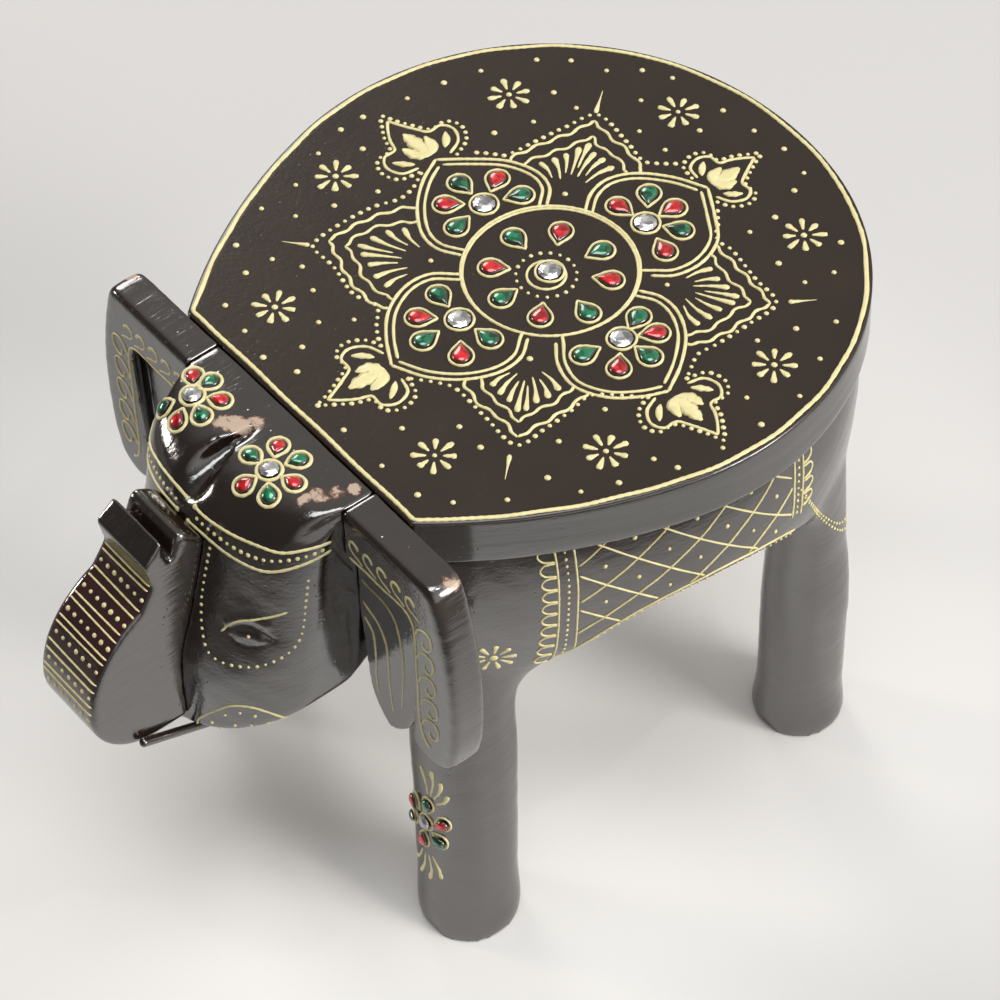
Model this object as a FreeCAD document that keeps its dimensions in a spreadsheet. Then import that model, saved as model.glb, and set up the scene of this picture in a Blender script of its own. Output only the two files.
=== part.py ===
import FreeCAD, Part
import math
import os
import re
import Sketcher

Vector = FreeCAD.Vector
Rotation = FreeCAD.Rotation

# A carved wooden elephant stool: a round seat board on a body block with four
# legs, and a head, ears, trunk, tusks and tail set on the block. The elephant
# looks along -Y and its own left side is +X. Every outline is drawn with the
# seat's centre on the Z axis, and each finished piece is then moved back so
# that the origin lies on the floor under the middle of the whole stool.

# Driving sizes: millimetres, and degrees for each name that ends in angle or turn
SIZES = {
    # Seat board: a rear arc, two shoulder arcs and two long side arcs, all tangent,
    # closed by a straight front edge
    "seat_height": 200.0,
    "seat_thickness": 19.0,
    "seat_edge_bevel": 1.2,
    "rear_radius": 116.6,
    "shoulder_radius": 99.5,
    "side_radius": 201.9,
    "rear_centre_lead": 7.9,
    "rear_angle": 76.0,
    "side_angle": 15.7,
    "front_reach": 96.1,
    # Body block: its depth under the seat's top, and how far its wall stands inside the
    # seat's edge at five levels
    "body_depth": 125.0,
    "rim_inset": 6.0,
    "bulge_inset": 2.5,
    "belly_inset": 4.0,
    "flank_inset": 12.0,
    "base_inset": 26.0,
    "chest_inset": 5.0,
    "chest_base_inset": 12.0,
    # Arch sawn through the body from side to side, and the tapering one from front to back;
    # each springs at a drop under the seat's top
    "side_arch_radius": 57.0,
    "side_arch_drop": 114.0,
    "side_arch_lead": 2.0,
    "front_arch_radius": 38.0,
    "front_arch_drop": 108.0,
    "rear_arch_radius": 52.0,
    "rear_arch_drop": 120.0,
    "arch_edge_round": 4.0,
    # Front legs: foot centre, lean up to the body, half widths and corner rounds
    "front_foot_x": 66.0,
    "front_foot_lead": 86.2,
    "front_leg_lean_x": 23.7,
    "front_leg_lean_y": 19.0,
    "front_foot_half": 18.6,
    "front_ankle_half": 17.4,
    "front_knee_half": 17.2,
    "front_thigh_half": 17.4,
    "front_hip_half": 17.0,
    # Rear legs, in the same way
    "rear_foot_x": 73.4,
    "rear_foot_back": 57.3,
    "rear_leg_lean_x": -6.6,
    "rear_leg_lean_y": -5.3,
    "rear_foot_half": 17.6,
    "rear_ankle_half": 15.4,
    "rear_knee_half": 14.8,
    "rear_thigh_half": 14.0,
    "rear_hip_half": 13.6,
    "leg_top_drop": 50.0,
    "leg_flat": 2.5,
    "hip_flat": 5.0,
    "foot_flat": 0.6,
    # The leg blanks are trimmed to this inset at the belly, and reach this far out at the floor
    "leg_floor_flare": 9.0,
    # Head block: front reach, side depth and corner round at six levels below the seat top
    "head_half_width": 40.5,
    "crown_reach": 118.7,
    "crown_depth": 14.0,
    "crown_round": 11.0,
    "forehead_drop": 12.0,
    "forehead_reach": 137.5,
    "forehead_depth": 24.0,
    "forehead_round": 20.0,
    "brow_drop": 30.0,
    "brow_reach": 142.8,
    "brow_depth": 26.5,
    "brow_round": 22.0,
    "face_drop": 50.0,
    "face_reach": 149.0,
    "face_depth": 29.0,
    "face_round": 24.0,
    "cheek_drop": 74.0,
    "cheek_reach": 155.0,
    "cheek_depth": 31.5,
    "cheek_round": 26.0,
    "chin_drop": 103.0,
    "chin_reach": 158.5,
    "chin_depth": 33.5,
    "chin_round": 28.0,
    "jaw_radius": 59.0,
    "jaw_drop": 98.0,
    "throat_drop": 72.0,
    "throat_lead": 44.0,
    # Scoops cut in the crown: one between the two lobes and one beside each ear
    "face_shift": 4.7,
    "scoop_length": 42.0,
    "scoop_radius": 8.5,
    "scoop_lead": 7.0,
    "scoop_dip_angle": 9.0,
    "ear_scoop_radius": 6.0,
    "ear_scoop_length": 26.0,
    "ear_scoop_dip_angle": 15.0,
    # Trunk: side profile by lead before the forehead and by drop below the seat top
    "trunk_top_half": 12.6,
    "trunk_base_half": 15.2,
    "trunk_front_lead": 51.1,
    "trunk_front_drop": 72.0,
    "trunk_knee_lead": 28.5,
    "trunk_knee_drop": 35.0,
    "trunk_heel_drop": 94.0,
    "strip_lead": 22.6,
    "strip_drop": 25.7,
    "tip_low_lead": 24.4,
    "tip_low_drop": 16.3,
    "tip_top_lead": 16.9,
    "tip_top_drop": 9.5,
    "groove_lead": 14.8,
    "groove_drop": 22.0,
    "roll_lead": 13.0,
    "roll_drop": 15.5,
    "roll_top_lead": 9.5,
    "roll_top_drop": 11.5,
    "roll_root_lead": 1.5,
    "roll_root_drop": 19.0,
    "roll_arch_radius": 24.0,
    "roll_nose_radius": 4.5,
    "trunk_root_depth": 8.0,
    "trunk_edge_bevel": 1.2,
    # Ears: flat boards with a raised rim along the top and the outer side
    "ear_lobe_thickness": 9.0,
    "ear_rim_thickness": 13.1,
    "ear_reach": 85.5,
    "ear_widest": 92.4,
    "ear_widest_drop": 63.0,
    "ear_corner_round": 5.5,
    "ear_outer_radius": 150.0,
    "ear_heel_x": 88.7,
    "ear_heel_drop": 83.0,
    "ear_toe_x": 71.0,
    "ear_toe_drop": 83.0,
    "ear_heel_radius": 12.0,
    "ear_side_radius": 60.0,
    "ear_lobe_x": 53.0,
    "ear_lobe_drop": 98.5,
    "ear_lobe_step_x": 66.0,
    "ear_lobe_step_drop": 82.0,
    "ear_lobe_radius": 24.0,
    "ear_neck_x": 43.5,
    "ear_neck_drop": 82.0,
    "ear_root_drop": 50.0,
    "rim_inner_x": 73.9,
    "rim_inner_drop": 24.4,
    "rim_under_x": 69.0,
    "rim_under_drop": 19.3,
    "rim_root_drop": 20.6,
    "rim_corner_radius": 6.0,
    "rim_low_x": 72.6,
    "ear_groove_width": 2.4,
    "ear_groove_depth": 2.0,
    "ear_edge_round": 2.2,
    # Tusks: short round-ended pegs beside the trunk
    "tusk_radius": 1.6,
    "tusk_length": 29.0,
    "tusk_socket": 11.0,
    "tusk_side": 16.95,
    "tusk_root_reach": 157.4,
    "tusk_root_drop": 97.2,
    "tusk_rise_angle": 22.0,
    "tusk_play": 0.1,
    # Tail: a slim strip laid on the rump
    "tail_half_width": 4.5,
    "tail_tuft_half": 7.0,
    "tail_stand": 5.0,
    "tail_top_drop": 24.0,
    "tail_bend_drop": 48.0,
    "tail_length": 58.0,
    "tail_tuft_length": 17.0,
    "tail_end_lead": 6.0,
    # Wooden dowels inside the joints
    "dowel_play": 0.1,
    "seat_dowel_radius": 5.0,
    "seat_dowel_length": 30.0,
    "seat_dowel_in_seat": 9.5,
    "seat_dowel_x": 52.0,
    "seat_dowel_y": 52.0,
    "head_dowel_radius": 5.0,
    "head_dowel_length": 36.0,
    "head_dowel_x": 20.0,
    "head_dowel_drop": 46.0,
    "ear_dowel_radius": 3.0,
    "ear_dowel_length": 22.0,
    "ear_dowel_in_ear": 6.5,
    "ear_dowel_x": 46.5,
    "ear_dowel_drop": 30.0,
    "ear_dowel_step": 22.0,
    "trunk_dowel_radius": 4.0,
    "trunk_dowel_length": 24.0,
    "trunk_dowel_drop": 42.0,
    "trunk_dowel_step": 34.0,
    # Glass stones, flat at the back and domed or bevelled in front
    "stone_height": 1.3,
    "stone_bevel": 0.6,
    "stone_glue": 0.1,
    "drop_length": 8.6,
    "drop_width": 6.2,
    "round_radius": 3.9,
    "mandala_x": 3.0,
    "mandala_y": 4.0,
    "mandala_turn": -3.5,
    "ring_reach": 19.4,
    "petal_reach": 37.0,
    "petal_ring_reach": 12.8,
    "flower_lead": 115.8,
    "near_flower_x": 12.6,
    "far_flower_x": -27.9,
    "flower_ring_reach": 9.8,
    "flower_drop_length": 6.4,
    "flower_drop_width": 5.0,
    "flower_round_radius": 3.2,
    "leg_flower_height": 48.0,
    "leg_ring_reach": 8.6,
    "leg_drop_length": 6.0,
    "leg_drop_width": 4.4,
    "leg_round_radius": 2.7,
    # One length by which every cut runs past the face that it opens
    "overrun": 2.0,
}

# Level of each body section and leg section, as shares of the block's or the leg's height
BODY_LEVEL_SHARES = (1.0, 0.8, 0.57, 0.24, 0.0)
LEG_LEVEL_SHARES = (0.0, 0.09, 0.38, 0.68, 1.0)

# Flat sides round each stone
STONE_SIDES = 12

NODES_FOLDER = "parts"

os.makedirs(NODES_FOLDER, exist_ok=True)
doc = FreeCAD.newDocument("elephant_stool")
sheet = doc.addObject("Spreadsheet::Sheet", "sizes")
for row, (alias, size) in enumerate(SIZES.items(), start=1):
    sheet.set(f"A{row}", alias)
    sheet.set(f"B{row}", str(size))
    sheet.setAlias(f"B{row}", alias)
doc.recompute()

pieces = {}


def bound(formula):
    """The formula with each size named as the document reads it."""
    return re.sub(r"[a-z][a-z_]*", lambda word: "sizes." + word.group(0) if word.group(0) in SIZES
                  else word.group(0), formula)


def value(formula):
    """The number that a formula of sizes gives now."""
    result = sheet.evalExpression(bound(formula))
    return float(getattr(result, "Value", result))


def bind(item, **formulas):
    """Binds properties to formulas of sizes; a double underscore stands for a dot."""
    for name, formula in formulas.items():
        item.setExpression(name.replace("__", "."), bound(formula))


# How far the rump reaches behind the seat's centre and the trunk ahead of it, and how far
# the middle of the whole stool lies ahead of it
RUMP_REACH = "(rear_radius - rear_centre_lead - bulge_inset)"
TRUNK_REACH = "(forehead_reach + trunk_front_lead)"
FRAME_SHIFT = f"({TRUNK_REACH} - {RUMP_REACH} - tail_stand) / 2"


def keep(item, name):
    """Names a finished piece after its node and moves it into the stool's frame."""
    item.Label = name
    bind(item, Placement__Base__y=FRAME_SHIFT)
    pieces[name] = item
    return item


def arc_between(start, end, radius, outward):
    """The arc from start to end, bulging outward or inward on an anticlockwise outline."""
    middle = (start + end) * 0.5
    chord = end - start
    reach = math.sqrt(radius * radius - chord.Length * chord.Length / 4)
    leftward = Vector(-chord.y, chord.x, 0).normalize()
    centre = middle + leftward * (reach if outward else -reach)
    first, last = (start, end) if outward else (end, start)
    angles = [math.atan2(point.y - centre.y, point.x - centre.x) for point in (first, last)]
    return Part.ArcOfCircle(Part.Circle(centre, Vector(0, 0, 1), radius), *angles)


def upright_radius(along, up):
    """Radius of an arc that rises by one length, steps aside by the other and ends upright."""
    return f"((({along}) * ({along}) + ({up}) * ({up})) / (2 * ({along})))"


def draw(sketch, outline):
    """Draws one closed anticlockwise outline in a sketch.

    Each corner is (x, y) when a line follows it, or (x, y, bulge, radius) when an
    arc follows it, bulging "out" or "in". Every entry but the bulge is a formula.
    """
    points = [Vector(value(corner[0]), value(corner[1]), 0) for corner in outline]
    ends = []
    for index, corner in enumerate(outline):
        start, end = points[index], points[(index + 1) % len(points)]
        if len(corner) == 2:
            edge = sketch.addGeometry(Part.LineSegment(start, end))
            ends.append((edge, 1, 2))
            continue
        outward = corner[2] == "out"
        edge = sketch.addGeometry(arc_between(start, end, value(corner[3]), outward))
        ends.append((edge, 1, 2) if outward else (edge, 2, 1))
    for index, (edge, start, end) in enumerate(ends):
        onward, onward_start, _ = ends[(index + 1) % len(ends)]
        sketch.addConstraint(Sketcher.Constraint("Coincident", edge, end, onward, onward_start))
    for index, (edge, start, end) in enumerate(ends):
        for axis, formula, place in (("X", outline[index][0], points[index].x),
                                     ("Y", outline[index][1], points[index].y)):
            number = sketch.addConstraint(
                Sketcher.Constraint("Distance" + axis, -1, 1, edge, start, place))
            sketch.setExpression(f"Constraints[{number}]", bound(formula))
        if len(outline[index]) == 4:
            radius = outline[index][3]
            number = sketch.addConstraint(Sketcher.Constraint("Radius", edge, value(radius)))
            sketch.setExpression(f"Constraints[{number}]", bound(radius))
    if sketch.solve() != 0:
        raise RuntimeError(f"{sketch.Name} does not solve")
    return sketch


def new_sketch(body, name, plane, offset="0"):
    """An empty sketch on one of the body's own planes, moved along the plane's normal."""
    sketch = body.newObject("Sketcher::SketchObject", name)
    origin_plane = next(item for item in body.Origin.OriginFeatures if item.Role == plane)
    sketch.AttachmentSupport = [(origin_plane, "")]
    sketch.MapMode = "FlatFace"
    bind(sketch, AttachmentOffset__Base__z=offset)
    return sketch


def new_body(name):
    return doc.addObject("PartDesign::Body", name)


def pad(body, sketch, length, midplane=False, reverse=False):
    feature = body.newObject("PartDesign::Pad", sketch.Name + "_pad")
    feature.Profile = sketch
    feature.Midplane = midplane
    feature.Reversed = reverse
    bind(feature, Length=length)
    doc.recompute()
    return feature


def pocket(body, sketch, length, midplane=False, reverse=False):
    """Cuts a sketch's outline out of the body and makes sure that wood came away."""
    before = body.Shape.Volume
    feature = body.newObject("PartDesign::Pocket", sketch.Name + "_pocket")
    feature.Profile = sketch
    feature.Midplane = midplane
    feature.Reversed = reverse
    bind(feature, Length=length)
    doc.recompute()
    if not body.Shape.Volume < before:
        raise RuntimeError(f"{feature.Name} cuts nothing")
    return feature


def loft(body, sketches, kind="PartDesign::AdditiveLoft", ruled=False):
    feature = body.newObject(kind, sketches[0].Name + "_loft")
    feature.Profile = sketches[0]
    feature.Sections = sketches[1:]
    feature.Ruled = ruled
    doc.recompute()
    return feature


def dress_edges(body, kind, size, chosen):
    """Fillets or chamfers the edges of the last feature whose sample points are all chosen."""
    base = body.Tip
    names = [f"Edge{number}" for number, edge in enumerate(base.Shape.Edges, start=1)
             if all(chosen(point) for point in edge.discretize(7))]
    feature = body.newObject("PartDesign::" + kind, base.Name + "_edges")
    feature.Base = (base, names)
    bind(feature, **{"Radius" if kind == "Fillet" else "Size": size})
    doc.recompute()
    return feature


def cut(name, base, tools):
    feature = doc.addObject("Part::Cut", name)
    feature.Base = base
    feature.Tool = tools
    feature.Refine = True
    return feature


def fuse(name, members):
    feature = doc.addObject("Part::MultiFuse", name)
    feature.Shapes = members
    return feature


def rod(name, radius, length, x, y, z, turn_axis=None, turn="0"):
    """A cylinder centred on a point; it stands along Z unless it is turned about an axis."""
    feature = doc.addObject("Part::Cylinder", name)
    bind(feature, Radius=radius, Height=length)
    if turn_axis is None:
        bind(feature, Placement__Base__x=x, Placement__Base__y=y,
             Placement__Base__z=f"({z}) - ({length}) / 2")
        return feature
    feature.Placement.Rotation = Rotation(turn_axis, value(turn))
    bind(feature, Placement__Base__x=x, Placement__Base__y=f"({y}) + ({length}) / 2",
         Placement__Base__z=z)
    return feature


# Outlines of the seat's family, each inset from the seat's edge by one distance
def seat_outline(inset, front):
    rear = f"(rear_radius - {inset})"
    shoulder = f"(shoulder_radius - {inset})"
    side = f"(side_radius - {inset})"
    shoulder_x = "((rear_radius - shoulder_radius) * cos(rear_angle))"
    shoulder_y = "((rear_radius - shoulder_radius) * sin(rear_angle) - rear_centre_lead)"
    side_x = f"({shoulder_x} - (side_radius - shoulder_radius) * cos(side_angle))"
    side_y = f"({shoulder_y} + (side_radius - shoulder_radius) * sin(side_angle))"
    rear_join = (f"{rear} * cos(rear_angle)", f"{rear} * sin(rear_angle) - rear_centre_lead")
    side_join = (f"{shoulder_x} + {shoulder} * cos(side_angle)",
                 f"{shoulder_y} - {shoulder} * sin(side_angle)")
    corner_x = f"{side_x} + sqrt({side} * {side} - ({side_y} + {front}) * ({side_y} + {front}))"
    return [
        (f"-({corner_x})", f"-({front})"),
        (corner_x, f"-({front})", "out", side),
        (*side_join, "out", shoulder),
        (*rear_join, "out", rear),
        (f"-({rear_join[0]})", rear_join[1], "out", shoulder),
        (f"-({side_join[0]})", side_join[1], "out", side),
    ]


SEAT_BASE = "(seat_height - seat_thickness)"


def make_seat():
    body = new_body("seat")
    outline = draw(new_sketch(body, "seat_edge", "XY_Plane", SEAT_BASE),
                   seat_outline("0", "front_reach"))
    pad(body, outline, "seat_thickness")
    top, base = value("seat_height"), value(SEAT_BASE)
    slack = value("seat_edge_bevel") / 10
    dress_edges(body, "Chamfer", "seat_edge_bevel",
                lambda point: min(abs(point.z - top), abs(point.z - base)) < slack)
    bores = new_sketch(body, "seat_bores", "XY_Plane", SEAT_BASE)
    for across in ("seat_dowel_x", "-seat_dowel_x"):
        for along in ("seat_dowel_y", "-seat_dowel_y"):
            centre = Vector(value(across), value(along), 0)
            circle = bores.addGeometry(Part.Circle(centre, Vector(0, 0, 1),
                                                   value("seat_dowel_radius + dowel_play")))
            for kind, formula, place in (("DistanceX", across, centre.x), ("DistanceY", along, centre.y)):
                number = bores.addConstraint(Sketcher.Constraint(kind, -1, 1, circle, 3, place))
                bores.setExpression(f"Constraints[{number}]", bound(formula))
            number = bores.addConstraint(
                Sketcher.Constraint("Radius", circle, value("seat_dowel_radius + dowel_play")))
            bores.setExpression(f"Constraints[{number}]", bound("seat_dowel_radius + dowel_play"))
    pocket(body, bores, "seat_dowel_in_seat + dowel_play", reverse=True)
    return keep(body, "seat")


# Body block: a loft of seat outlines, planed flat in front, with two arches sawn through it
BODY_BASE = "(seat_height - body_depth)"


def arch_outline(centre, half_width, drop):
    """A round-headed opening that starts below the floor; two arcs meet at its crown."""
    spring = f"seat_height - {drop}"
    return [
        (f"{centre} - {half_width}", "-overrun"),
        (f"{centre} + {half_width}", "-overrun"),
        (f"{centre} + {half_width}", spring, "out", half_width),
        (centre, f"{spring} + {half_width}", "out", half_width),
        (f"{centre} - {half_width}", spring),
    ]


def make_torso():
    body = new_body("torso")
    insets = ("rim_inset", "bulge_inset", "belly_inset", "flank_inset", "base_inset")
    fronts = ("front_reach + overrun", "front_reach + overrun", "front_reach + overrun",
              "front_reach - chest_inset", "front_reach - chest_base_inset")
    sections = []
    for number, (share, inset, front) in enumerate(zip(BODY_LEVEL_SHARES, insets, fronts)):
        level = f"{BODY_BASE} + ({SEAT_BASE} - {BODY_BASE}) * {share}"
        sections.append(draw(new_sketch(body, f"body_section_{number}", "XY_Plane", level),
                             seat_outline(inset, f"({front})")))
    loft(body, sections)

    planed = draw(new_sketch(body, "planed_front", "XY_Plane"), [
        ("-rear_radius", "-front_reach - shoulder_radius"),
        ("rear_radius", "-front_reach - shoulder_radius"),
        ("rear_radius", "-front_reach"),
        ("-rear_radius", "-front_reach"),
    ])
    pocket(body, planed, "seat_height + overrun", reverse=True)

    side_arch = draw(new_sketch(body, "side_arch", "YZ_Plane"),
                     arch_outline("-side_arch_lead", "side_arch_radius", "side_arch_drop"))
    pocket(body, side_arch, "rear_radius * 2 + overrun", midplane=True)

    before = body.Shape.Volume
    front_arch = draw(new_sketch(body, "front_arch", "XZ_Plane", "front_reach + overrun"),
                      arch_outline("0", "front_arch_radius", "front_arch_drop"))
    rear_arch = draw(new_sketch(body, "rear_arch", "XZ_Plane", "-rear_radius - overrun"),
                     arch_outline("0", "rear_arch_radius", "rear_arch_drop"))
    loft(body, [front_arch, rear_arch], "PartDesign::SubtractiveLoft", ruled=True)
    if not body.Shape.Volume < before:
        raise RuntimeError("the front arch cuts nothing")

    axis_y, axis_z = value("-side_arch_lead"), value("seat_height - side_arch_drop")
    radius, side = value("side_arch_radius"), value("front_foot_x - front_leg_lean_x")
    slack = value("arch_edge_round") / 20

    def on_arch_edge(point):
        distance = math.hypot(point.y - axis_y, point.z - axis_z)
        return abs(distance - radius) < slack and point.z > axis_z - slack and abs(point.x) > side

    dress_edges(body, "Fillet", "arch_edge_round", on_arch_edge)
    return body


# Legs: lofts of square sections with large round corners, almost round at the foot
def square_outline(x, y, half, flat):
    """A square with quarter-round corners that leave flats of one half length."""
    corner = f"({half} - {flat})"
    return [
        (f"{x} - {flat}", f"{y} - {half}"),
        (f"{x} + {flat}", f"{y} - {half}", "out", corner),
        (f"{x} + {half}", f"{y} - {flat}"),
        (f"{x} + {half}", f"{y} + {flat}", "out", corner),
        (f"{x} + {flat}", f"{y} + {half}"),
        (f"{x} - {flat}", f"{y} + {half}", "out", corner),
        (f"{x} - {half}", f"{y} + {flat}"),
        (f"{x} - {half}", f"{y} - {flat}", "out", corner),
    ]


def leg_axis(end, side, share):
    """The leg's centre line, as formulas of x and y, at a share of the leg's height."""
    if end == "front":
        return (f"({side} * (front_foot_x - front_leg_lean_x * {share}))",
                f"(front_leg_lean_y * {share} - front_foot_lead)")
    return (f"({side} * (rear_foot_x - rear_leg_lean_x * {share}))",
            f"(rear_foot_back + rear_leg_lean_y * {share})")


LEG_TOP = "(seat_height - leg_top_drop)"


def make_leg(end, side):
    body = new_body(f"{end}_leg_{'left' if side > 0 else 'right'}")
    halves = [f"{end}_{level}_half" for level in ("foot", "ankle", "knee", "thigh", "hip")]
    flats = ["foot_flat", "foot_flat", "leg_flat", "hip_flat", "hip_flat"]
    sections = []
    for number, (share, half, flat) in enumerate(zip(LEG_LEVEL_SHARES, halves, flats)):
        x, y = leg_axis(end, side, share)
        sketch = new_sketch(body, f"{body.Name}_section_{number}", "XY_Plane",
                            f"{LEG_TOP} * {share}")
        sections.append(draw(sketch, square_outline(x, y, half, flat)))
    loft(body, sections, ruled=True)
    return body


def make_drum():
    """A straight-sided drum, flush with the body's wall at its belly, that trims the leg blanks."""
    body = new_body("drum")
    belly = f"{BODY_BASE} + ({SEAT_BASE} - {BODY_BASE}) * {BODY_LEVEL_SHARES[2]}"
    top = draw(new_sketch(body, "drum_top", "XY_Plane", belly),
               seat_outline("belly_inset", "front_reach"))
    floor = draw(new_sketch(body, "drum_floor", "XY_Plane", "-overrun"),
                 seat_outline("(-leg_floor_flare)", "front_reach"))
    loft(body, [floor, top], ruled=True)
    return body


def trimmed(legs):
    drum, blanks = make_drum(), fuse("leg_blanks", legs)
    feature = doc.addObject("Part::MultiCommon", "trimmed_legs")
    feature.Shapes = [drum, blanks]
    return feature


# Joints: the same rods serve as dowels and, a little thicker, as the tools that bore for them
FORWARD_TURN = "90"
ALONG_Y = Vector(1, 0, 0)


def dowel_places():
    """Every dowel as (group, x, y, z, stands upright)."""
    for across in ("seat_dowel_x", "-seat_dowel_x"):
        for along in ("seat_dowel_y", "-seat_dowel_y"):
            yield ("seat", across, along,
                   f"{SEAT_BASE} + seat_dowel_in_seat - seat_dowel_length / 2", True)
    for across in ("head_dowel_x", "-head_dowel_x"):
        yield "head", across, "-front_reach", "seat_height - head_dowel_drop", False
    for across in ("ear_dowel_x", "-ear_dowel_x"):
        for step in ("0", "ear_dowel_step"):
            yield ("ear", across, "ear_dowel_length / 2 - ear_dowel_in_ear - front_reach",
                   f"seat_height - ear_dowel_drop - {step}", False)
    for step in ("0", "trunk_dowel_step"):
        drop = f"(trunk_dowel_drop + {step})"
        slope = "((chin_reach - forehead_reach) / (chin_drop - forehead_drop))"
        yield ("trunk", "-face_shift", f"-(forehead_reach + ({drop} - forehead_drop) * {slope})",
               f"seat_height - {drop}", False)


def dowel_rods(group, play):
    """Dowels of one group, grown all round and at both ends by the play."""
    rods = []
    for number, (owner, x, y, z, upright) in enumerate(dowel_places()):
        if owner != group:
            continue
        name = f"{group}_{'bore' if play != '0' else 'dowel'}_{number}"
        sizes = (f"{group}_dowel_radius + {play}", f"{group}_dowel_length + {play} * 2")
        if upright:
            rods.append(rod(name, *sizes, x, y, z))
        else:
            rods.append(rod(name, *sizes, x, y, z, ALONG_Y, FORWARD_TURN))
    return rods


def make_dowels(group):
    return keep(fuse(f"{group}_dowels", dowel_rods(group, "0")), f"{group}_dowels")


def make_body(torso, legs, bores):
    block = fuse("body_block", [torso, *legs])
    doc.recompute()
    drilled = cut("body", block, fuse("body_bores", bores))
    return keep(drilled, "body")


# Head block: a loft of sections with a bowed front, and a jaw rounded from below
def front_outline(reach, depth, corner):
    """Straight back and sides, then a corner arc, one wide front arc and a corner arc, tangent."""
    wide = (f"((head_half_width * head_half_width + {depth} * {depth} - 2 * head_half_width * {corner})"
            f" / (2 * ({depth} - {corner})))")
    stretch = f"({wide} / ({wide} - {corner}))"
    join_x = f"((head_half_width - {corner}) * {stretch})"
    join_y = f"({wide} - {reach} + ({depth} - {wide}) * {stretch})"
    side_y = f"({depth} - {reach})"
    return [
        (f"-{join_x}", join_y, "out", wide),
        (join_x, join_y, "out", corner),
        ("head_half_width", side_y),
        ("head_half_width", "-front_reach"),
        ("-head_half_width", "-front_reach"),
        ("-head_half_width", side_y, "out", corner),
    ]


def make_head_block():
    body = new_body("head_block")
    sections = []
    for level in ("crown", "forehead", "brow", "face", "cheek", "chin"):
        height = "seat_height" if level == "crown" else f"seat_height - {level}_drop"
        outline = front_outline(f"{level}_reach", f"{level}_depth", f"{level}_round")
        sections.append(draw(new_sketch(body, f"{level}_section", "XY_Plane", height), outline))
    loft(body, sections)

    rise = "(jaw_radius - sqrt(jaw_radius * jaw_radius - head_half_width * head_half_width))"
    jaw = draw(new_sketch(body, "jaw", "XZ_Plane"), [
        ("-head_half_width - overrun", "seat_height - chin_drop - overrun"),
        ("head_half_width + overrun", "seat_height - chin_drop - overrun"),
        ("head_half_width + overrun", f"seat_height - jaw_drop + {rise}"),
        ("head_half_width", f"seat_height - jaw_drop + {rise}", "in", "jaw_radius"),
        ("0", "seat_height - jaw_drop", "in", "jaw_radius"),
        ("-head_half_width", f"seat_height - jaw_drop + {rise}"),
        ("-head_half_width - overrun", f"seat_height - jaw_drop + {rise}"),
    ])
    pocket(body, jaw, "chin_reach + overrun", reverse=True)

    throat = draw(new_sketch(body, "throat", "YZ_Plane"), [
        ("overrun - front_reach", "seat_height - chin_drop - overrun"),
        ("overrun - front_reach", "seat_height - throat_drop"),
        ("-front_reach", "seat_height - throat_drop"),
        ("-front_reach - throat_lead", "seat_height - chin_drop - overrun"),
    ])
    pocket(body, throat, "head_half_width * 2 + overrun", midplane=True)
    return body


def scoop(name, x, radius, length, dip):
    """A cone laid in the crown: its point lies by the seat and it widens towards the brow."""
    feature = doc.addObject("Part::Cone", name)
    feature.Placement.Rotation = Rotation(ALONG_Y, value(f"{FORWARD_TURN} + {dip}"))
    bind(feature, Radius1="0", Radius2=radius, Height=length, Placement__Base__x=x,
         Placement__Base__y="-front_reach - scoop_lead", Placement__Base__z="seat_height")
    return feature


def tusk_shape(body, name, radius, length, rounded):
    """A turned peg drawn along Z from its root; its tip narrows to half the radius when rounded."""
    sketch = new_sketch(body, name + "_profile", "XZ_Plane")
    if rounded:
        draw(sketch, [("0", "0"), (radius, "0"), (radius, f"{length} - {radius} / 2"),
                      (f"{radius} / 2", length), ("0", length)])
    else:
        draw(sketch, [("0", "0"), (radius, "0"), (radius, length), ("0", length)])
    turned = body.newObject("PartDesign::Revolution", name + "_turned")
    turned.Profile = sketch
    turned.ReferenceAxis = (sketch, ["V_Axis"])
    turned.Angle = 360
    doc.recompute()
    return body


def place_tusk(body, side, back):
    """Lays a peg at the jaw, pointing ahead and a little up; back lengthens it into the socket."""
    body.Placement.Rotation = Rotation(ALONG_Y, value(f"{FORWARD_TURN} - tusk_rise_angle"))
    inward = f"(tusk_socket + {back})"
    bind(body, Placement__Base__x=f"{side} * tusk_side - face_shift",
         Placement__Base__y=f"{inward} * cos(tusk_rise_angle) - tusk_root_reach",
         Placement__Base__z=f"seat_height - tusk_root_drop - {inward} * sin(tusk_rise_angle)")
    return body


def make_head(head_block, bores):
    tools = list(bores)
    tools.append(scoop("lobe_scoop", "-face_shift", "scoop_radius", "scoop_length",
                       "scoop_dip_angle"))
    for side, word in ((1, "left"), (-1, "right")):
        tools.append(scoop(f"ear_scoop_{word}", f"{side} * head_half_width", "ear_scoop_radius",
                           "ear_scoop_length", "ear_scoop_dip_angle"))
        socket = tusk_shape(new_body(f"tusk_socket_{word}"), f"socket_{word}",
                            "(tusk_radius + tusk_play)", "(tusk_length + tusk_play)", False)
        tools.append(place_tusk(socket, side, "tusk_play"))
    doc.recompute()
    return keep(cut("head", head_block, fuse("head_cuts", tools)), "head")


def make_tusk(side):
    word = "left" if side > 0 else "right"
    body = tusk_shape(new_body(f"tusk_{word}"), f"tusk_{word}", "tusk_radius", "tusk_length", True)
    place_tusk(body, side, "0")
    bind(body, Placement__Base__y=("tusk_socket * cos(tusk_rise_angle) - tusk_root_reach + "
                                   + FRAME_SHIFT))
    body.Label = f"tusk_{word}"
    pieces[body.Label] = body
    return body


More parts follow.
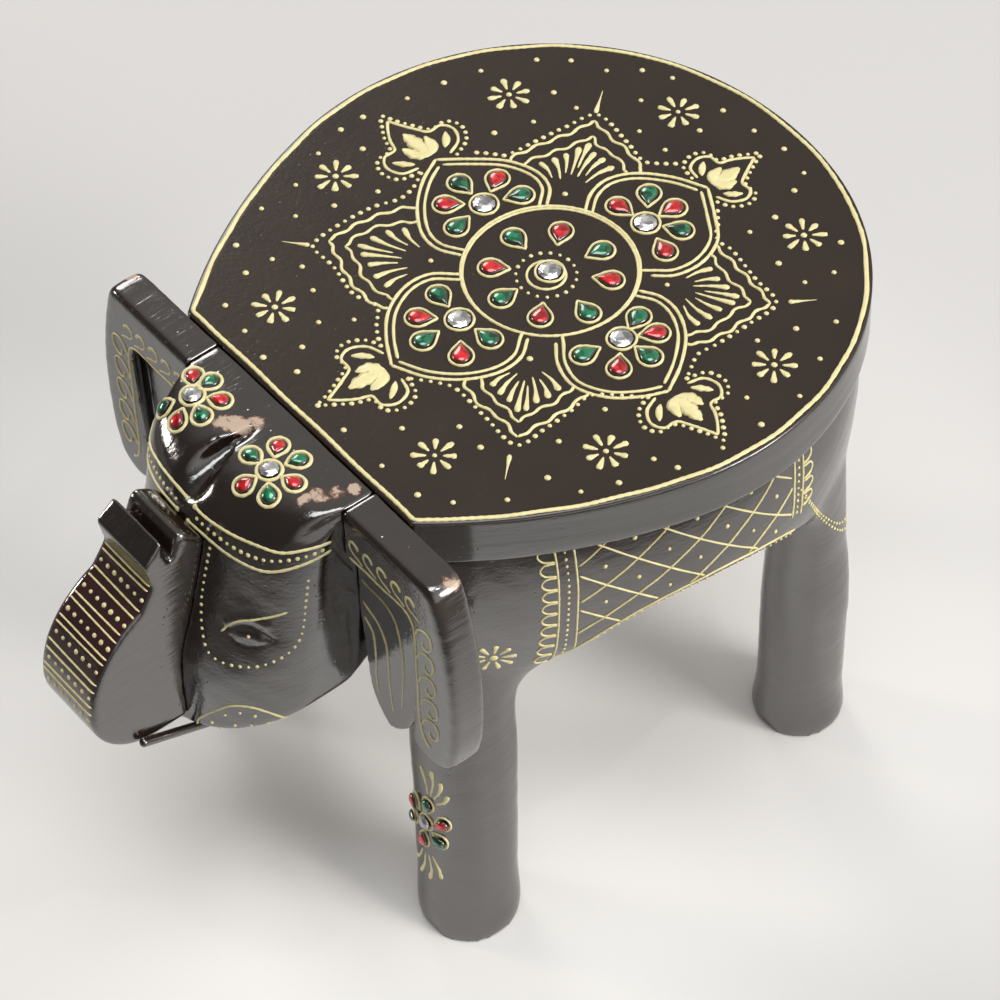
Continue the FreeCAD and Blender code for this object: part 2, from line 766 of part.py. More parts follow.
# Trunk: a side profile padded across, tapered towards its curled tip, fitted to the face
def make_trunk(head_block, bores):
    body = new_body("trunk_block")
    heel_radius = "(trunk_heel_drop - trunk_front_drop)"

    def spot(lead, drop):
        return f"-(forehead_reach + {lead})", f"seat_height - ({drop})"
    profile = draw(new_sketch(body, "trunk_profile", "YZ_Plane"), [
        spot("chin_reach - forehead_reach - trunk_root_depth", "trunk_heel_drop"),
        spot("(-trunk_root_depth)", "roll_root_drop + trunk_root_depth"),
        (*spot("roll_root_lead", "roll_root_drop"), "out", "roll_arch_radius"),
        (*spot("roll_top_lead", "roll_top_drop"), "out", "roll_nose_radius"),
        spot("roll_lead", "roll_drop"),
        spot("groove_lead", "groove_drop"),
        spot("tip_top_lead", "tip_top_drop"),
        spot("tip_low_lead", "tip_low_drop"),
        spot("strip_lead", "strip_drop"),
        (*spot("trunk_knee_lead", "trunk_knee_drop"), "out",
         upright_radius("trunk_front_lead - trunk_knee_lead", "trunk_front_drop - trunk_knee_drop")),
        (*spot("trunk_front_lead", "trunk_front_drop"), "out", heel_radius),
        spot(f"trunk_front_lead - {heel_radius}", "trunk_heel_drop"),
    ])
    pad(body, profile, "trunk_base_half * 2", midplane=True)

    before = body.Shape.Volume
    for side in (1, -1):
        high = "seat_height + overrun"
        low = "seat_height - trunk_heel_drop - overrun"
        outline = [
            (f"{side} * trunk_base_half", low),
            (f"{side} * (trunk_base_half + overrun)", low),
            (f"{side} * (trunk_base_half + overrun)", high),
            (f"{side} * trunk_top_half", high),
        ]
        taper = new_sketch(body, f"trunk_taper_{'left' if side > 0 else 'right'}", "XZ_Plane")
        draw(taper, outline if side > 0 else outline[::-1])
        pocket(body, taper, f"{TRUNK_REACH} + overrun", reverse=True)
    if not body.Shape.Volume < before:
        raise RuntimeError("the trunk does not taper")

    front = -value("forehead_reach + strip_lead")
    low = value("seat_height - trunk_heel_drop")
    top = value("seat_height - strip_drop")
    slack = value("trunk_edge_bevel")
    middle = value("trunk_top_half") / 2
    dress_edges(body, "Chamfer", "trunk_edge_bevel",
                lambda point: (point.y < front + slack / 2 and low - slack < point.z < top + slack / 2
                               and abs(point.x) > middle))
    bind(body, Placement__Base__x="-face_shift")
    tools = fuse("trunk_cuts", [head_block, *bores])
    doc.recompute()
    return keep(cut("trunk", body, tools), "trunk")


# Ears: a lobe, a thicker rim along the top and outer side, and a groove between them
def make_ear(side, bores):
    word = "left" if side > 0 else "right"
    body = new_body(f"ear_board_{word}")

    def mirrored(outline):
        """The outline for this side, still anticlockwise and with each arc on its own edge."""
        if side > 0:
            return outline
        turned = []
        for index in range(len(outline) - 1, -1, -1):
            corner = outline[index]
            turned.append((f"-({corner[0]})", corner[1], *outline[index - 1][2:]))
        return turned

    corner_height = "(seat_height - ear_corner_round)"
    outer_edge = [
        ("ear_toe_x", "seat_height - ear_toe_drop", "out", "ear_heel_radius"),
        ("ear_heel_x", "seat_height - ear_heel_drop", "out", "ear_side_radius"),
        ("ear_widest", "seat_height - ear_widest_drop", "out", "ear_outer_radius"),
        ("ear_reach", corner_height, "out", "ear_corner_round"),
        ("ear_reach - ear_corner_round", "seat_height"),
        ("head_half_width", "seat_height"),
    ]
    lobe = [
        ("head_half_width", "seat_height - ear_root_drop"),
        ("ear_neck_x", "seat_height - ear_neck_drop", "out", "ear_lobe_radius"),
        ("ear_lobe_x", "seat_height - ear_lobe_drop", "out", "ear_lobe_radius"),
        ("ear_lobe_step_x", "seat_height - ear_lobe_step_drop"),
    ]
    board = draw(new_sketch(body, f"ear_outline_{word}", "XZ_Plane", "front_reach"),
                 mirrored(lobe + outer_edge))
    pad(body, board, "ear_lobe_thickness")

    inner_edge = [
        ("head_half_width", "seat_height - rim_root_drop"),
        ("rim_under_x", "seat_height - rim_under_drop", "in", "rim_corner_radius"),
        ("rim_inner_x", "seat_height - rim_inner_drop"),
        ("rim_low_x", "seat_height - ear_widest_drop"),
    ]
    rim = draw(new_sketch(body, f"ear_rim_{word}", "XZ_Plane", "front_reach + ear_lobe_thickness"),
               mirrored(outer_edge + inner_edge))
    pad(body, rim, "ear_rim_thickness - ear_lobe_thickness")

    edge = "ear_groove_width"
    groove = draw(new_sketch(body, f"ear_groove_{word}", "XZ_Plane",
                             "front_reach + ear_lobe_thickness"), mirrored([
        ("head_half_width", f"seat_height - rim_root_drop - {edge}"),
        (f"rim_under_x - {edge} / 2", f"seat_height - rim_under_drop - {edge}"),
        (f"rim_inner_x - {edge}", f"seat_height - rim_inner_drop - {edge} / 2"),
        (f"rim_low_x - {edge}", "seat_height - ear_widest_drop"),
        (f"ear_toe_x - {edge}", "seat_height - ear_toe_drop"),
        ("ear_toe_x", "seat_height - ear_toe_drop"),
        ("rim_low_x", "seat_height - ear_widest_drop"),
        ("rim_inner_x", "seat_height - rim_inner_drop", "out", "rim_corner_radius"),
        ("rim_under_x", "seat_height - rim_under_drop"),
        ("head_half_width", "seat_height - rim_root_drop"),
    ]))
    pocket(body, groove, "ear_groove_depth")

    front = -value("front_reach + ear_rim_thickness")
    slack = value("ear_edge_round") / 20
    inner = value("head_half_width") + slack
    under = value("seat_height - ear_widest_drop") - slack
    limit_x = value("rim_inner_x") + slack
    limit_z = value("seat_height - rim_under_drop") + slack
    dress_edges(body, "Fillet", "ear_edge_round",
                lambda point: (abs(point.y - front) < slack and abs(point.x) > inner - 2 * slack
                               and (abs(point.x) > limit_x and point.z > under or point.z > limit_z)))
    doc.recompute()
    return keep(cut(f"ear_{word}", body, fuse(f"ear_bores_{word}", bores)), f"ear_{word}")


# Tail: a strip that follows the rump and is slimmer above its tuft
def make_tail(torso):
    body = new_body("tail_block")
    top = "(seat_height - tail_top_drop)"
    bend = "(seat_height - tail_bend_drop)"
    end = f"({top} - tail_length)"
    inner = f"{RUMP_REACH} - tail_stand - tail_end_lead"
    profile = draw(new_sketch(body, "tail_profile", "YZ_Plane"), [
        (inner, end),
        (f"{RUMP_REACH} + tail_stand - tail_end_lead", end, "out",
         upright_radius("tail_end_lead", f"{bend} - {end}")),
        (f"{RUMP_REACH} + tail_stand", bend, "out", upright_radius("tail_stand / 2", f"{top} - {bend}")),
        (f"{RUMP_REACH} + tail_stand / 2", top),
        (inner, top),
    ])
    pad(body, profile, "tail_tuft_half * 2", midplane=True)
    for side in (1, -1):
        outline = [
            (f"{side} * tail_half_width", f"{end} + tail_tuft_length"),
            (f"{side} * (tail_tuft_half + overrun)", f"{end} + tail_tuft_length - tail_stand"),
            (f"{side} * (tail_tuft_half + overrun)", f"{top} + overrun"),
            (f"{side} * tail_half_width", f"{top} + overrun"),
        ]
        slim = new_sketch(body, f"tail_slim_{'left' if side > 0 else 'right'}", "XZ_Plane")
        draw(slim, outline if side > 0 else outline[::-1])
        pocket(body, slim, "rear_radius + overrun")
    return keep(cut("tail", body, torso), "tail")


# Glass stones: flat-backed, bevelled in front, round or drawn out to a point
def cut_stone(outline):
    """A stone from its outline, a function that gives the corners at an inset from its edge."""
    height, bevel = value("stone_height"), value("stone_bevel")

    def wire(inset, level):
        corners = [Vector(x, y, level) for x, y in outline(inset)]
        return Part.makePolygon(corners + corners[:1])

    rings = [wire(0, 0), wire(0, height - bevel), wire(bevel, height)]
    return Part.makeLoft(rings, True, True)


def round_stone(radius):
    def outline(inset):
        angles = [math.tau * step / STONE_SIDES for step in range(STONE_SIDES)]
        return [((radius - inset) * math.cos(angle), (radius - inset) * math.sin(angle))
                for angle in angles]

    return cut_stone(outline)


def drop_stone(length, width):
    """A pear: a round end and two straight flanks that meet in a point towards -X."""

    def outline(inset):
        radius, point = width / 2 - inset, length - width / 2 - 2 * inset
        opening = math.pi - math.acos(radius / point)
        turns = [opening * (2 * step / (STONE_SIDES - 2) - 1) for step in range(STONE_SIDES - 1)]
        return [(radius * math.cos(turn), radius * math.sin(turn)) for turn in turns] + [(-point, 0)]

    return cut_stone(outline)


def settle(stone, surface, point, outward, spin):
    """Lays a stone where a line through the point meets the solid, square to the surface there.

    The line runs along outward; the stone's own +X is turned by the spin from the level direction.
    """
    reach = value("seat_thickness")
    probe = Part.makeLine(point + outward * reach, point - outward * reach)
    inside = surface.common(probe)
    touch = max((vertex.Point for vertex in inside.Vertexes), key=lambda place: place.dot(outward))
    face = min(surface.Faces, key=lambda candidate: candidate.distToShape(Part.Vertex(touch))[0])
    normal = face.normalAt(*face.Surface.parameter(touch))
    if normal.dot(outward) < 0:
        normal = normal.negative()
    laid = stone.copy()
    turn = Rotation(outward, normal).multiply(Rotation(Vector(0, 0, 1), outward))
    turn = turn.multiply(Rotation(Vector(0, 0, 1), spin))
    laid.Placement = FreeCAD.Placement(touch + normal * value("stone_glue"), turn)
    return laid


def flower(surface, centre, outward, reach, stones, places, axis=0.0):
    """Pears laid round a clear round stone; each place is (angle, share of the reach, colour)."""
    drop, middle = stones
    lie = Rotation(Vector(0, 0, 1), outward)
    laid = {"clear": [settle(middle, surface, centre, outward, 0)]}
    for angle, reach_share, colour in places:
        step = lie.multVec(Rotation(Vector(0, 0, 1), angle + axis).multVec(Vector(reach_share, 0, 0)))
        stone = settle(drop, surface, centre + step * reach, outward, angle + axis)
        laid.setdefault(colour, []).append(stone)
    return laid


def make_stones(place, groups):
    """One node for each colour, holding that colour's stones as separate solids."""
    colours = sorted({colour for group in groups for colour in group})
    for colour in colours:
        name = f"{place}_stones_{colour}"
        feature = doc.addObject("Part::Feature", name)
        feature.Shape = Part.makeCompound([stone for group in groups for stone in group.get(colour, [])])
        keep(feature, name)


# Stones of each flower, as laid by hand: angle in degrees, share of the ring's reach, colour
RING_SHARES = ((-6, 1.15, "green"), (39, 1.05, "red"), (79, 1.0, "green"), (129, 0.95, "red"),
               (178, 1.0, "green"), (225, 0.99, "red"), (268, 1.01, "green"), (312, 1.06, "red"))
PETAL_SHARES = (
    (-2, 1.01, ((112, 0.86, "green"), (64, 0.91, "red"), (11, 0.93, "green"), (-42, 1.01, "red"),
                (-98, 1.11, "green"))),
    (85, 1.02, ((104, 0.93, "red"), (50, 1.07, "green"), (1, 0.92, "red"), (-51, 0.95, "green"),
                (-99, 1.12, "red"))),
    (175.6, 1.01, ((105, 1.08, "green"), (55, 1.0, "red"), (5, 1.0, "green"), (-55, 0.98, "red"),
                   (-107, 1.02, "green"))),
    (-93.5, 0.96, ((103, 1.03, "green"), (57, 1.24, "red"), (3, 1.15, "green"), (-40, 1.05, "red"),
                   (-94, 1.02, "green"))),
)
NEAR_FLOWER_SHARES = ((16, 1.0, "red"), (74, 1.04, "green"), (127, 1.04, "red"), (185, 0.9, "green"),
                      (261, 0.94, "red"), (322, 1.0, "green"))
FAR_FLOWER_SHARES = ((-17, 0.95, "green"), (36, 1.0, "red"), (96, 0.84, "green"), (141, 0.86, "red"),
                     (240, 0.98, "green"), (294, 1.0, "red"))
LEG_FLOWER_SHARES = ((90, 1.0, "green"), (150, 1.0, "red"), (210, 1.0, "green"), (270, 1.0, "red"),
                     (330, 1.0, "green"), (30, 1.0, "red"))


def unmoved(piece):
    """A copy of a piece's shape in the frame in which its outlines are drawn."""
    shape = piece.Shape.copy()
    shape.Placement = FreeCAD.Placement()
    return shape


def make_seat_stones(seat):
    surface, upward = unmoved(seat), Vector(0, 0, 1)
    stones = (drop_stone(value("drop_length"), value("drop_width")),
              round_stone(value("round_radius")))
    centre = Vector(value("mandala_x"), value("mandala_y"), value("seat_height"))
    groups = [flower(surface, centre, upward, value("ring_reach"), stones, RING_SHARES)]
    for axis, reach_share, places in PETAL_SHARES:
        way = Rotation(upward, axis).multVec(Vector(reach_share, 0, 0))
        hub = centre + way * value("petal_reach")
        groups.append(flower(surface, hub, upward, value("petal_ring_reach"), stones, places, axis))
    make_stones("seat", groups)


def make_head_stones(head):
    surface, upward = unmoved(head), Vector(0, 0, 1)
    stones = (drop_stone(value("flower_drop_length"), value("flower_drop_width")),
              round_stone(value("flower_round_radius")))
    groups = []
    for x, places in (("near_flower_x", NEAR_FLOWER_SHARES), ("far_flower_x", FAR_FLOWER_SHARES)):
        centre = Vector(value(x), -value("flower_lead"), value("seat_height"))
        groups.append(flower(surface, centre, upward, value("flower_ring_reach"), stones, places))
    make_stones("head", groups)


def make_leg_stones(front_legs):
    outward = Vector(0, -1, 0)
    stones = (drop_stone(value("leg_drop_length"), value("leg_drop_width")),
              round_stone(value("leg_round_radius")))
    share = value(f"leg_flower_height / {LEG_TOP}")
    groups = []
    for side, leg in zip((1, -1), front_legs):
        x, y = leg_axis("front", side, share)
        centre = Vector(value(x), value(y) - value("front_knee_half"), value("leg_flower_height"))
        groups.append(flower(leg.Shape, centre, outward, value("leg_ring_reach"), stones,
                             LEG_FLOWER_SHARES))
    make_stones("leg", groups)


seat = make_seat()
torso = make_torso()
front_legs = [make_leg("front", side) for side in (1, -1)]
rear_legs = [make_leg("rear", side) for side in (1, -1)]
body_bores = [bore for group in ("seat", "head", "ear") for bore in dowel_rods(group, "dowel_play")]
make_body(torso, [*front_legs, trimmed(rear_legs)], body_bores)
head_block = make_head_block()
head = make_head(head_block, dowel_rods("head", "dowel_play") + dowel_rods("trunk", "dowel_play"))
make_trunk(head_block, dowel_rods("trunk", "dowel_play"))
for side in (1, -1):
    make_ear(side, dowel_rods("ear", "dowel_play"))
    make_tusk(side)
make_tail(torso)
for group in ("seat", "head", "ear", "trunk"):
    make_dowels(group)
doc.recompute()
make_seat_stones(seat)
make_head_stones(head)
make_leg_stones(front_legs)
doc.recompute()

for item in doc.Objects:
    if "Invalid" in item.State or "Error" in item.State:
        raise RuntimeError(f"{item.Name} failed: {item.State}")
for name, piece in pieces.items():
    if piece.Shape.isNull() or not piece.Shape.isValid():
        raise RuntimeError(f"{name} has no sound shape")
for name, piece in pieces.items():
    piece.Shape.exportStep(f"{NODES_FOLDER}/{name}.step")
    box = piece.Shape.optimalBoundingBox()
    print(f"{name}: {len(piece.Shape.Solids)} solids, {piece.Shape.Volume / 1000:.2f} cm3, "
          f"x {box.XMin:.1f} to {box.XMax:.1f}, y {box.YMin:.1f} to {box.YMax:.1f}, "
          f"z {box.ZMin:.1f} to {box.ZMax:.1f}")
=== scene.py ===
import math

import bpy
import numpy as np
from mathutils import Matrix, Vector
from mathutils.bvhtree import BVHTree
from mathutils.kdtree import KDTree


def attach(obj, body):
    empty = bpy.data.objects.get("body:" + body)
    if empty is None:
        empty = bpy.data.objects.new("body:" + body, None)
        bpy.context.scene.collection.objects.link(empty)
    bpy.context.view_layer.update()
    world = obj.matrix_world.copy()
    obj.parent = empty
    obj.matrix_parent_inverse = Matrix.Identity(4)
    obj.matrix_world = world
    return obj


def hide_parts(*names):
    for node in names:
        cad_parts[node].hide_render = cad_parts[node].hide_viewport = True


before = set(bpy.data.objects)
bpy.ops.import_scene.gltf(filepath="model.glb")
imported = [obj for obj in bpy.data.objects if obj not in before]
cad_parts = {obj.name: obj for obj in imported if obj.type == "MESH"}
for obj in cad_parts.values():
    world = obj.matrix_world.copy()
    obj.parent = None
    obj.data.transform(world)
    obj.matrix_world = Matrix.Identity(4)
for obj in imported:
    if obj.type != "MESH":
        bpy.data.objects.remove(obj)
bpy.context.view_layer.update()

MM = 0.001

# Camera: a long lens well above the stool, on its own left and ahead of it, and
# tilted a little so that the stool leans as it does in the photograph.
CAMERA_PLACE = Vector((0.69703, -0.51652, 1.12859))
CAMERA_ALONG = Vector((-0.514731, 0.397724, -0.759518))
CAMERA_UP = Vector((-0.582568, 0.487705, 0.650199))
LENS_MM = 144

camera = bpy.data.objects.new("camera", bpy.data.cameras.new("camera"))
bpy.context.scene.collection.objects.link(camera)
bpy.context.scene.camera = camera
camera.data.lens = LENS_MM
camera_right = CAMERA_ALONG.cross(CAMERA_UP)
turned = Matrix((camera_right, CAMERA_UP, -CAMERA_ALONG)).transposed().to_4x4()
camera.matrix_world = Matrix.Translation(CAMERA_PLACE) @ turned


# Body block and legs: one piece of carved mango wood under black spirit lacquer.
# The tool leaves soft waves in the wood, and the lacquer is brushed on thick, so it
# is glossy and shows fine streaks and pits.
def linear(code):
    """An sRGB hex colour as linear red, green and blue with full alpha."""
    parts = np.array([int(code[at:at + 2], 16) / 255 for at in (1, 3, 5)])
    low, high = parts / 12.92, ((parts + 0.055) / 1.055) ** 2.4
    return (*np.where(parts <= 0.04045, low, high), 1.0)


def add(tree, kind, sockets=None, **settings):
    """Adds a shader node, sets its settings, and fills its sockets or links them. A node
    given to a socket is linked by the first output it offers."""
    made = tree.nodes.new("ShaderNode" + kind)
    for name, setting in settings.items():
        setattr(made, name, setting)
    for name, given in (sockets or {}).items():
        if isinstance(given, bpy.types.Node):
            given = next(output for output in given.outputs if output.enabled)
        if isinstance(given, bpy.types.NodeSocket):
            tree.links.new(given, made.inputs[name])
        else:
            made.inputs[name].default_value = given
    return made


def new_material(name):
    """An empty material, its node tree and its Object coordinates."""
    made = bpy.data.materials.new(name)
    made.use_nodes = True
    made.node_tree.nodes.clear()
    return made, made.node_tree, add(made.node_tree, "TexCoord").outputs["Object"]


def lacquer(name, ground, tone, streak_way, polish=0.13, sheen=2.4, ripple=0.00018):
    """Brushed spirit lacquer over carved wood: dark, thick and glossy, with spots of wear
    and painted highlight.

    Streaks are noise drawn out along one axis, 1.4 and 3 mm apart, with pits 4 mm apart;
    they ruffle the gloss. The attribute of wear and painted highlight, from 0 to 1, lays a
    red-brown and then a pale colour with an edge made ragged by 6 mm noise: lacquer worn
    through to stained and bare wood, and also a painted highlight.
    """
    made, tree, place = new_material(name)
    drawn = add(tree, "Mapping", {"Vector": place, "Scale": streak_way})
    fine = add(tree, "TexNoise", {"Vector": drawn, "Scale": 700.0, "Detail": 3.0,
                                  "Roughness": 0.6})
    broad = add(tree, "TexNoise", {"Vector": drawn, "Scale": 320.0, "Detail": 2.0})
    cloud = add(tree, "TexNoise", {"Vector": place, "Scale": 38.0, "Detail": 3.0})
    pits = add(tree, "TexVoronoi", {"Vector": place, "Scale": 230.0})
    pit = add(tree, "MapRange", {"Value": pits, "From Max": 0.14, "To Min": 1.0,
                                 "To Max": 0.0})
    shade = add(tree, "Mix", {"Factor": cloud, "A": linear(ground), "B": linear(tone)},
                data_type="RGBA")
    ragged = add(tree, "TexNoise", {"Vector": place, "Scale": 170.0, "Detail": 6.0,
                                    "Roughness": 0.7})
    # Painted highlight as well as wear: where this attribute is high the colour turns red-brown,
    # then pale.
    wear_and_highlight = add(tree, "Attribute", attribute_name="wear_and_highlight").outputs["Fac"]
    ragged_edge = add(tree, "MapRange", {"Value": ragged, "From Min": 0.3, "From Max": 0.7})
    worn_and_highlit = add(tree, "Math", {0: wear_and_highlight, 1: ragged_edge}, operation="ADD")
    red = add(tree, "MapRange", {"Value": worn_and_highlit, "From Min": 1.0, "From Max": 1.12})
    bare_wood_and_highlight = add(tree, "MapRange", {"Value": worn_and_highlit, "From Min": 1.10, "From Max": 1.30})
    stain_and_highlight = add(tree, "Mix", {"Factor": red, "A": shade, "B": linear("#6B3A26")},
                  data_type="RGBA")
    colour = add(tree, "Mix", {"Factor": bare_wood_and_highlight, "A": stain_and_highlight, "B": linear("#B8A593")},
                 data_type="RGBA")
    relief = add(tree, "Math", {0: fine, 1: broad}, operation="ADD")
    height = add(tree, "Math", {0: relief, 1: pit}, operation="SUBTRACT")
    bump = add(tree, "Bump", {"Height": height, "Strength": 0.5, "Distance": ripple})
    coat = add(tree, "MapRange", {"Value": bare_wood_and_highlight, "To Min": 1.0, "To Max": 0.1})
    shader = add(tree, "BsdfPrincipled", {
        "Base Color": colour, "Roughness": 0.5, "Normal": bump, "Specular IOR Level": 0.0,
        "Coat Weight": coat, "Coat Roughness": polish, "Coat IOR": sheen,
        "Coat Normal": bump})
    add(tree, "OutputMaterial", {"Surface": shader})
    return made


black_lacquer = lacquer("black_spirit_lacquer", "#110B08", "#291D15", (1.0, 0.12, 1.0))


def new_piece(name, corners, faces):
    """A mesh object in metres from millimetre corners and faces of any number of sides."""
    mesh = bpy.data.meshes.new(name)
    mesh.from_pydata(np.asarray(corners, float) * MM, [], faces)
    mesh.validate()
    piece = bpy.data.objects.new(name, mesh)
    bpy.context.scene.collection.objects.link(piece)
    return piece


def points_of(mesh, scale=MM, what="co"):
    """The vertices' places in millimetres, or another of their vectors at its scale."""
    flat = np.empty(len(mesh.vertices) * 3)
    mesh.vertices.foreach_get(what, flat)
    return flat.reshape(-1, 3) / scale


def sizes(rows):
    """The length of each row's vector."""
    return np.linalg.norm(rows, axis=1)


def unit(rows):
    """Each row's vector made one long."""
    return rows / sizes(rows)[:, None]


def waves(points, length, seed):
    """A smooth field from -1 to 1: a sum of seven sine waves in set directions."""
    dice = np.random.default_rng(seed)
    total = np.zeros(len(points))
    for _ in range(7):
        way = dice.normal(size=3)
        way *= math.tau / (length * dice.uniform(0.7, 1.5) * np.linalg.norm(way))
        total += np.sin(points @ way + dice.uniform(0, math.tau))
    return total / 4


def relaxed(points, edges, rounds, share):
    """Points drawn towards the middle of their neighbours, round after round; the share, a
    number or an array for each point and axis, says how far each may follow."""
    count = np.bincount(edges.ravel(), minlength=len(points))[:, None]
    for _ in range(rounds):
        pull = np.stack([np.bincount(edges[:, 0], points[edges[:, 1], axis], len(points))
                         + np.bincount(edges[:, 1], points[edges[:, 0], axis], len(points))
                         for axis in range(3)], axis=1)
        points = points + 0.5 * share * (pull / count - points)
    return points


def near(points, spots):
    """From 1 at the middle of any spot (x, y, z, reach) down to 0 at its reach, smoothly."""
    closeness = np.zeros(len(points))
    for x, y, z, reach in spots:
        share = np.clip(1 - sizes(points - (x, y, z)) / reach, 0, 1)
        closeness = np.maximum(closeness, share)
    return closeness * closeness * (3 - 2 * closeness)


def wear_and_highlight_at(piece, spots):
    """Writes the attribute of wear and painted highlight: each spot is (x, y, z, reach),
    full at the nearest point.
    """
    points = points_of(piece.data)
    spots = [(*points[sizes(points - (x, y, z)).argmin()], reach)
             for x, y, z, reach in spots]
    attribute = piece.data.attributes.new("wear_and_highlight", "FLOAT", "POINT")
    attribute.data.foreach_set("value", near(points, spots))


def carved(node, grid, relax, depth, seed, marks=(), soft=(), worn_and_highlit=(),
           held=lambda points: 1.0):
    """A CAD solid remade as hand-carved wood under black lacquer.

    Its skin is merged, drawn again as even squares of one grid size, relaxed, and then
    relaxed further round each soft spot with its own rounds. Held says how far each
    point may follow. Last, all points move along their normals by waves of the tool's
    depth in two lengths, and by each mark, a function that gives a rise in millimetres.
    """
    rough = bpy.data.objects.new(node + "_rough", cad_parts[node].data.copy())
    bpy.context.scene.collection.objects.link(rough)
    rough.modifiers.new("weld", "WELD").merge_threshold = 0.00001
    remesh = rough.modifiers.new("remesh", "REMESH")
    remesh.mode, remesh.voxel_size, remesh.adaptivity = "VOXEL", grid * MM, 0.0
    bpy.context.view_layer.update()
    graph = bpy.context.evaluated_depsgraph_get()
    mesh = bpy.data.meshes.new_from_object(rough.evaluated_get(graph))
    mesh.materials.clear()
    mesh.materials.append(black_lacquer)
    bpy.data.objects.remove(rough)
    edges = np.empty(len(mesh.edges) * 2, int)
    mesh.edges.foreach_get("vertices", edges)
    edges = edges.reshape(-1, 2)
    points = points_of(mesh)
    free = held(points)
    points = relaxed(points, edges, relax, free)
    for rounds, spots in soft:
        points = relaxed(points, edges, rounds, near(points, spots)[:, None] * free)
    mesh.vertices.foreach_set("co", (points * MM).ravel())
    mesh.update()
    normals = points_of(mesh, 1.0, "normal")
    rise = depth * (waves(points, 26, seed) + 0.5 * waves(points, 9, seed + 1))
    for mark in marks:
        rise = rise + mark(points)
    points = points + normals * rise[:, None] * free
    mesh.vertices.foreach_set("co", (points * MM).ravel())
    mesh.update()
    mesh.shade_smooth()
    piece = bpy.data.objects.new("carved_" + node, mesh)
    bpy.context.scene.collection.objects.link(piece)
    wear_and_highlight_at(piece, worn_and_highlit)
    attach(piece, "root")
    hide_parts(node)
    return piece


def skin_of(piece):
    """The piece's surface in millimetres, for laying things on it."""
    corners = [tuple(point) for point in points_of(piece.data)]
    return BVHTree.FromPolygons(corners, [tuple(face.vertices) for face in piece.data.polygons])


def feet_level(points):
    """Lets the soles stay flat and the top stay under the seat: no rise or fall there."""
    free = np.ones((len(points), 3))
    free[:, 2] = np.clip((points[:, 2] - 1.0) / 4, 0, 1) * np.clip((179.5 - points[:, 2]) / 2, 0, 1)
    return free


LEG_CORNERS = [(side * x, y, z, reach) for side in (1, -1)
               for x, y, z, reach in ((72.0, -14.0, 104.0, 30.0), (60.0, -20.0, 96.0, 26.0),
                                      (92.0, 80.0, 112.0, 26.0), (84.0, 84.0, 96.0, 26.0))]
LEG_SHAFTS = [(side * x, y, z, 52.0) for side in (1, -1)
              for x, y in ((63.0, -50.0), (74.0, 94.0)) for z in (20.0, 50.0, 80.0)]
body = carved("body", 1.35, 14, 0.13, 11, soft=((220, LEG_CORNERS), (90, LEG_SHAFTS)),
              held=feet_level)


# Seat board: a sawn and sanded board, satin brown-black on top and brushed with a
# glossier coat round its side, where the brush left level streaks.
SEAT_TOP, SEAT_BASE = 200.0, 181.0
SEAT_FRONT, SEAT_SHIFT = 96.1, 38.7
SEAT_MIDDLE = np.array((0.0, 5.0))
REAR_RADIUS, REAR_LEAD = 116.6, 7.9
SHOULDER_RADIUS, SIDE_RADIUS = 99.5, 201.9
REAR_ANGLE, SIDE_ANGLE = math.radians(76.0), math.radians(15.7)


def seat_ring(inset, step):
    """The seat's outline at an inset: a side arc, shoulder arc and half the rear arc from
    the front corner to the rear, mirrored, about the seat's own centre."""
    shoulder_x = (REAR_RADIUS - SHOULDER_RADIUS) * math.cos(REAR_ANGLE)
    shoulder_y = (REAR_RADIUS - SHOULDER_RADIUS) * math.sin(REAR_ANGLE) - REAR_LEAD
    side_x = shoulder_x - (SIDE_RADIUS - SHOULDER_RADIUS) * math.cos(SIDE_ANGLE)
    side_y = shoulder_y + (SIDE_RADIUS - SHOULDER_RADIUS) * math.sin(SIDE_ANGLE)
    radius = SIDE_RADIUS - inset
    start = math.asin((-SEAT_FRONT + inset - side_y) / radius)
    arcs = ((side_x, side_y, radius, start, -SIDE_ANGLE),
            (shoulder_x, shoulder_y, SHOULDER_RADIUS - inset, -SIDE_ANGLE, REAR_ANGLE),
            (0.0, -REAR_LEAD, REAR_RADIUS - inset, REAR_ANGLE, math.pi / 2))
    half = []
    for x, y, size, first, last in arcs:
        turns = np.linspace(first, last, max(2, round(size * abs(last - first) / step)) + 1)
        half.append(np.c_[x + size * np.cos(turns), y + size * np.sin(turns)][:-1])
    right = np.concatenate(half)
    left = right[::-1] * (-1, 1)
    rear = np.array([[0.0, REAR_RADIUS - REAR_LEAD - inset]])
    front = np.linspace(left[-1], right[0], round(2 * right[0, 0] / step) + 1)[1:-1]
    return np.concatenate([right, rear, left, front])


def ring_faces(rows, count, start=0, closed=False, turned=False):
    """Quads between stacked rings of so many corners, and a flat face at each end unless
    the stack closes on itself. The rings run anticlockwise as seen from the last one, or
    clockwise if turned."""
    row, column = np.arange(rows if closed else rows - 1)[:, None], np.arange(count)
    low, high = start + row * count, start + (row + 1) % rows * count
    after = (column + 1) % count
    quads = np.stack([low + column, low + after, high + after, high + column], axis=-1)
    faces = quads.reshape(-1, 4).tolist()
    if not closed:
        last = start + (rows - 1) * count
        faces += [list(range(start, start + count))[::-1], list(range(last, last + count))]
    return [face[:1] + face[:0:-1] for face in faces] if turned else faces


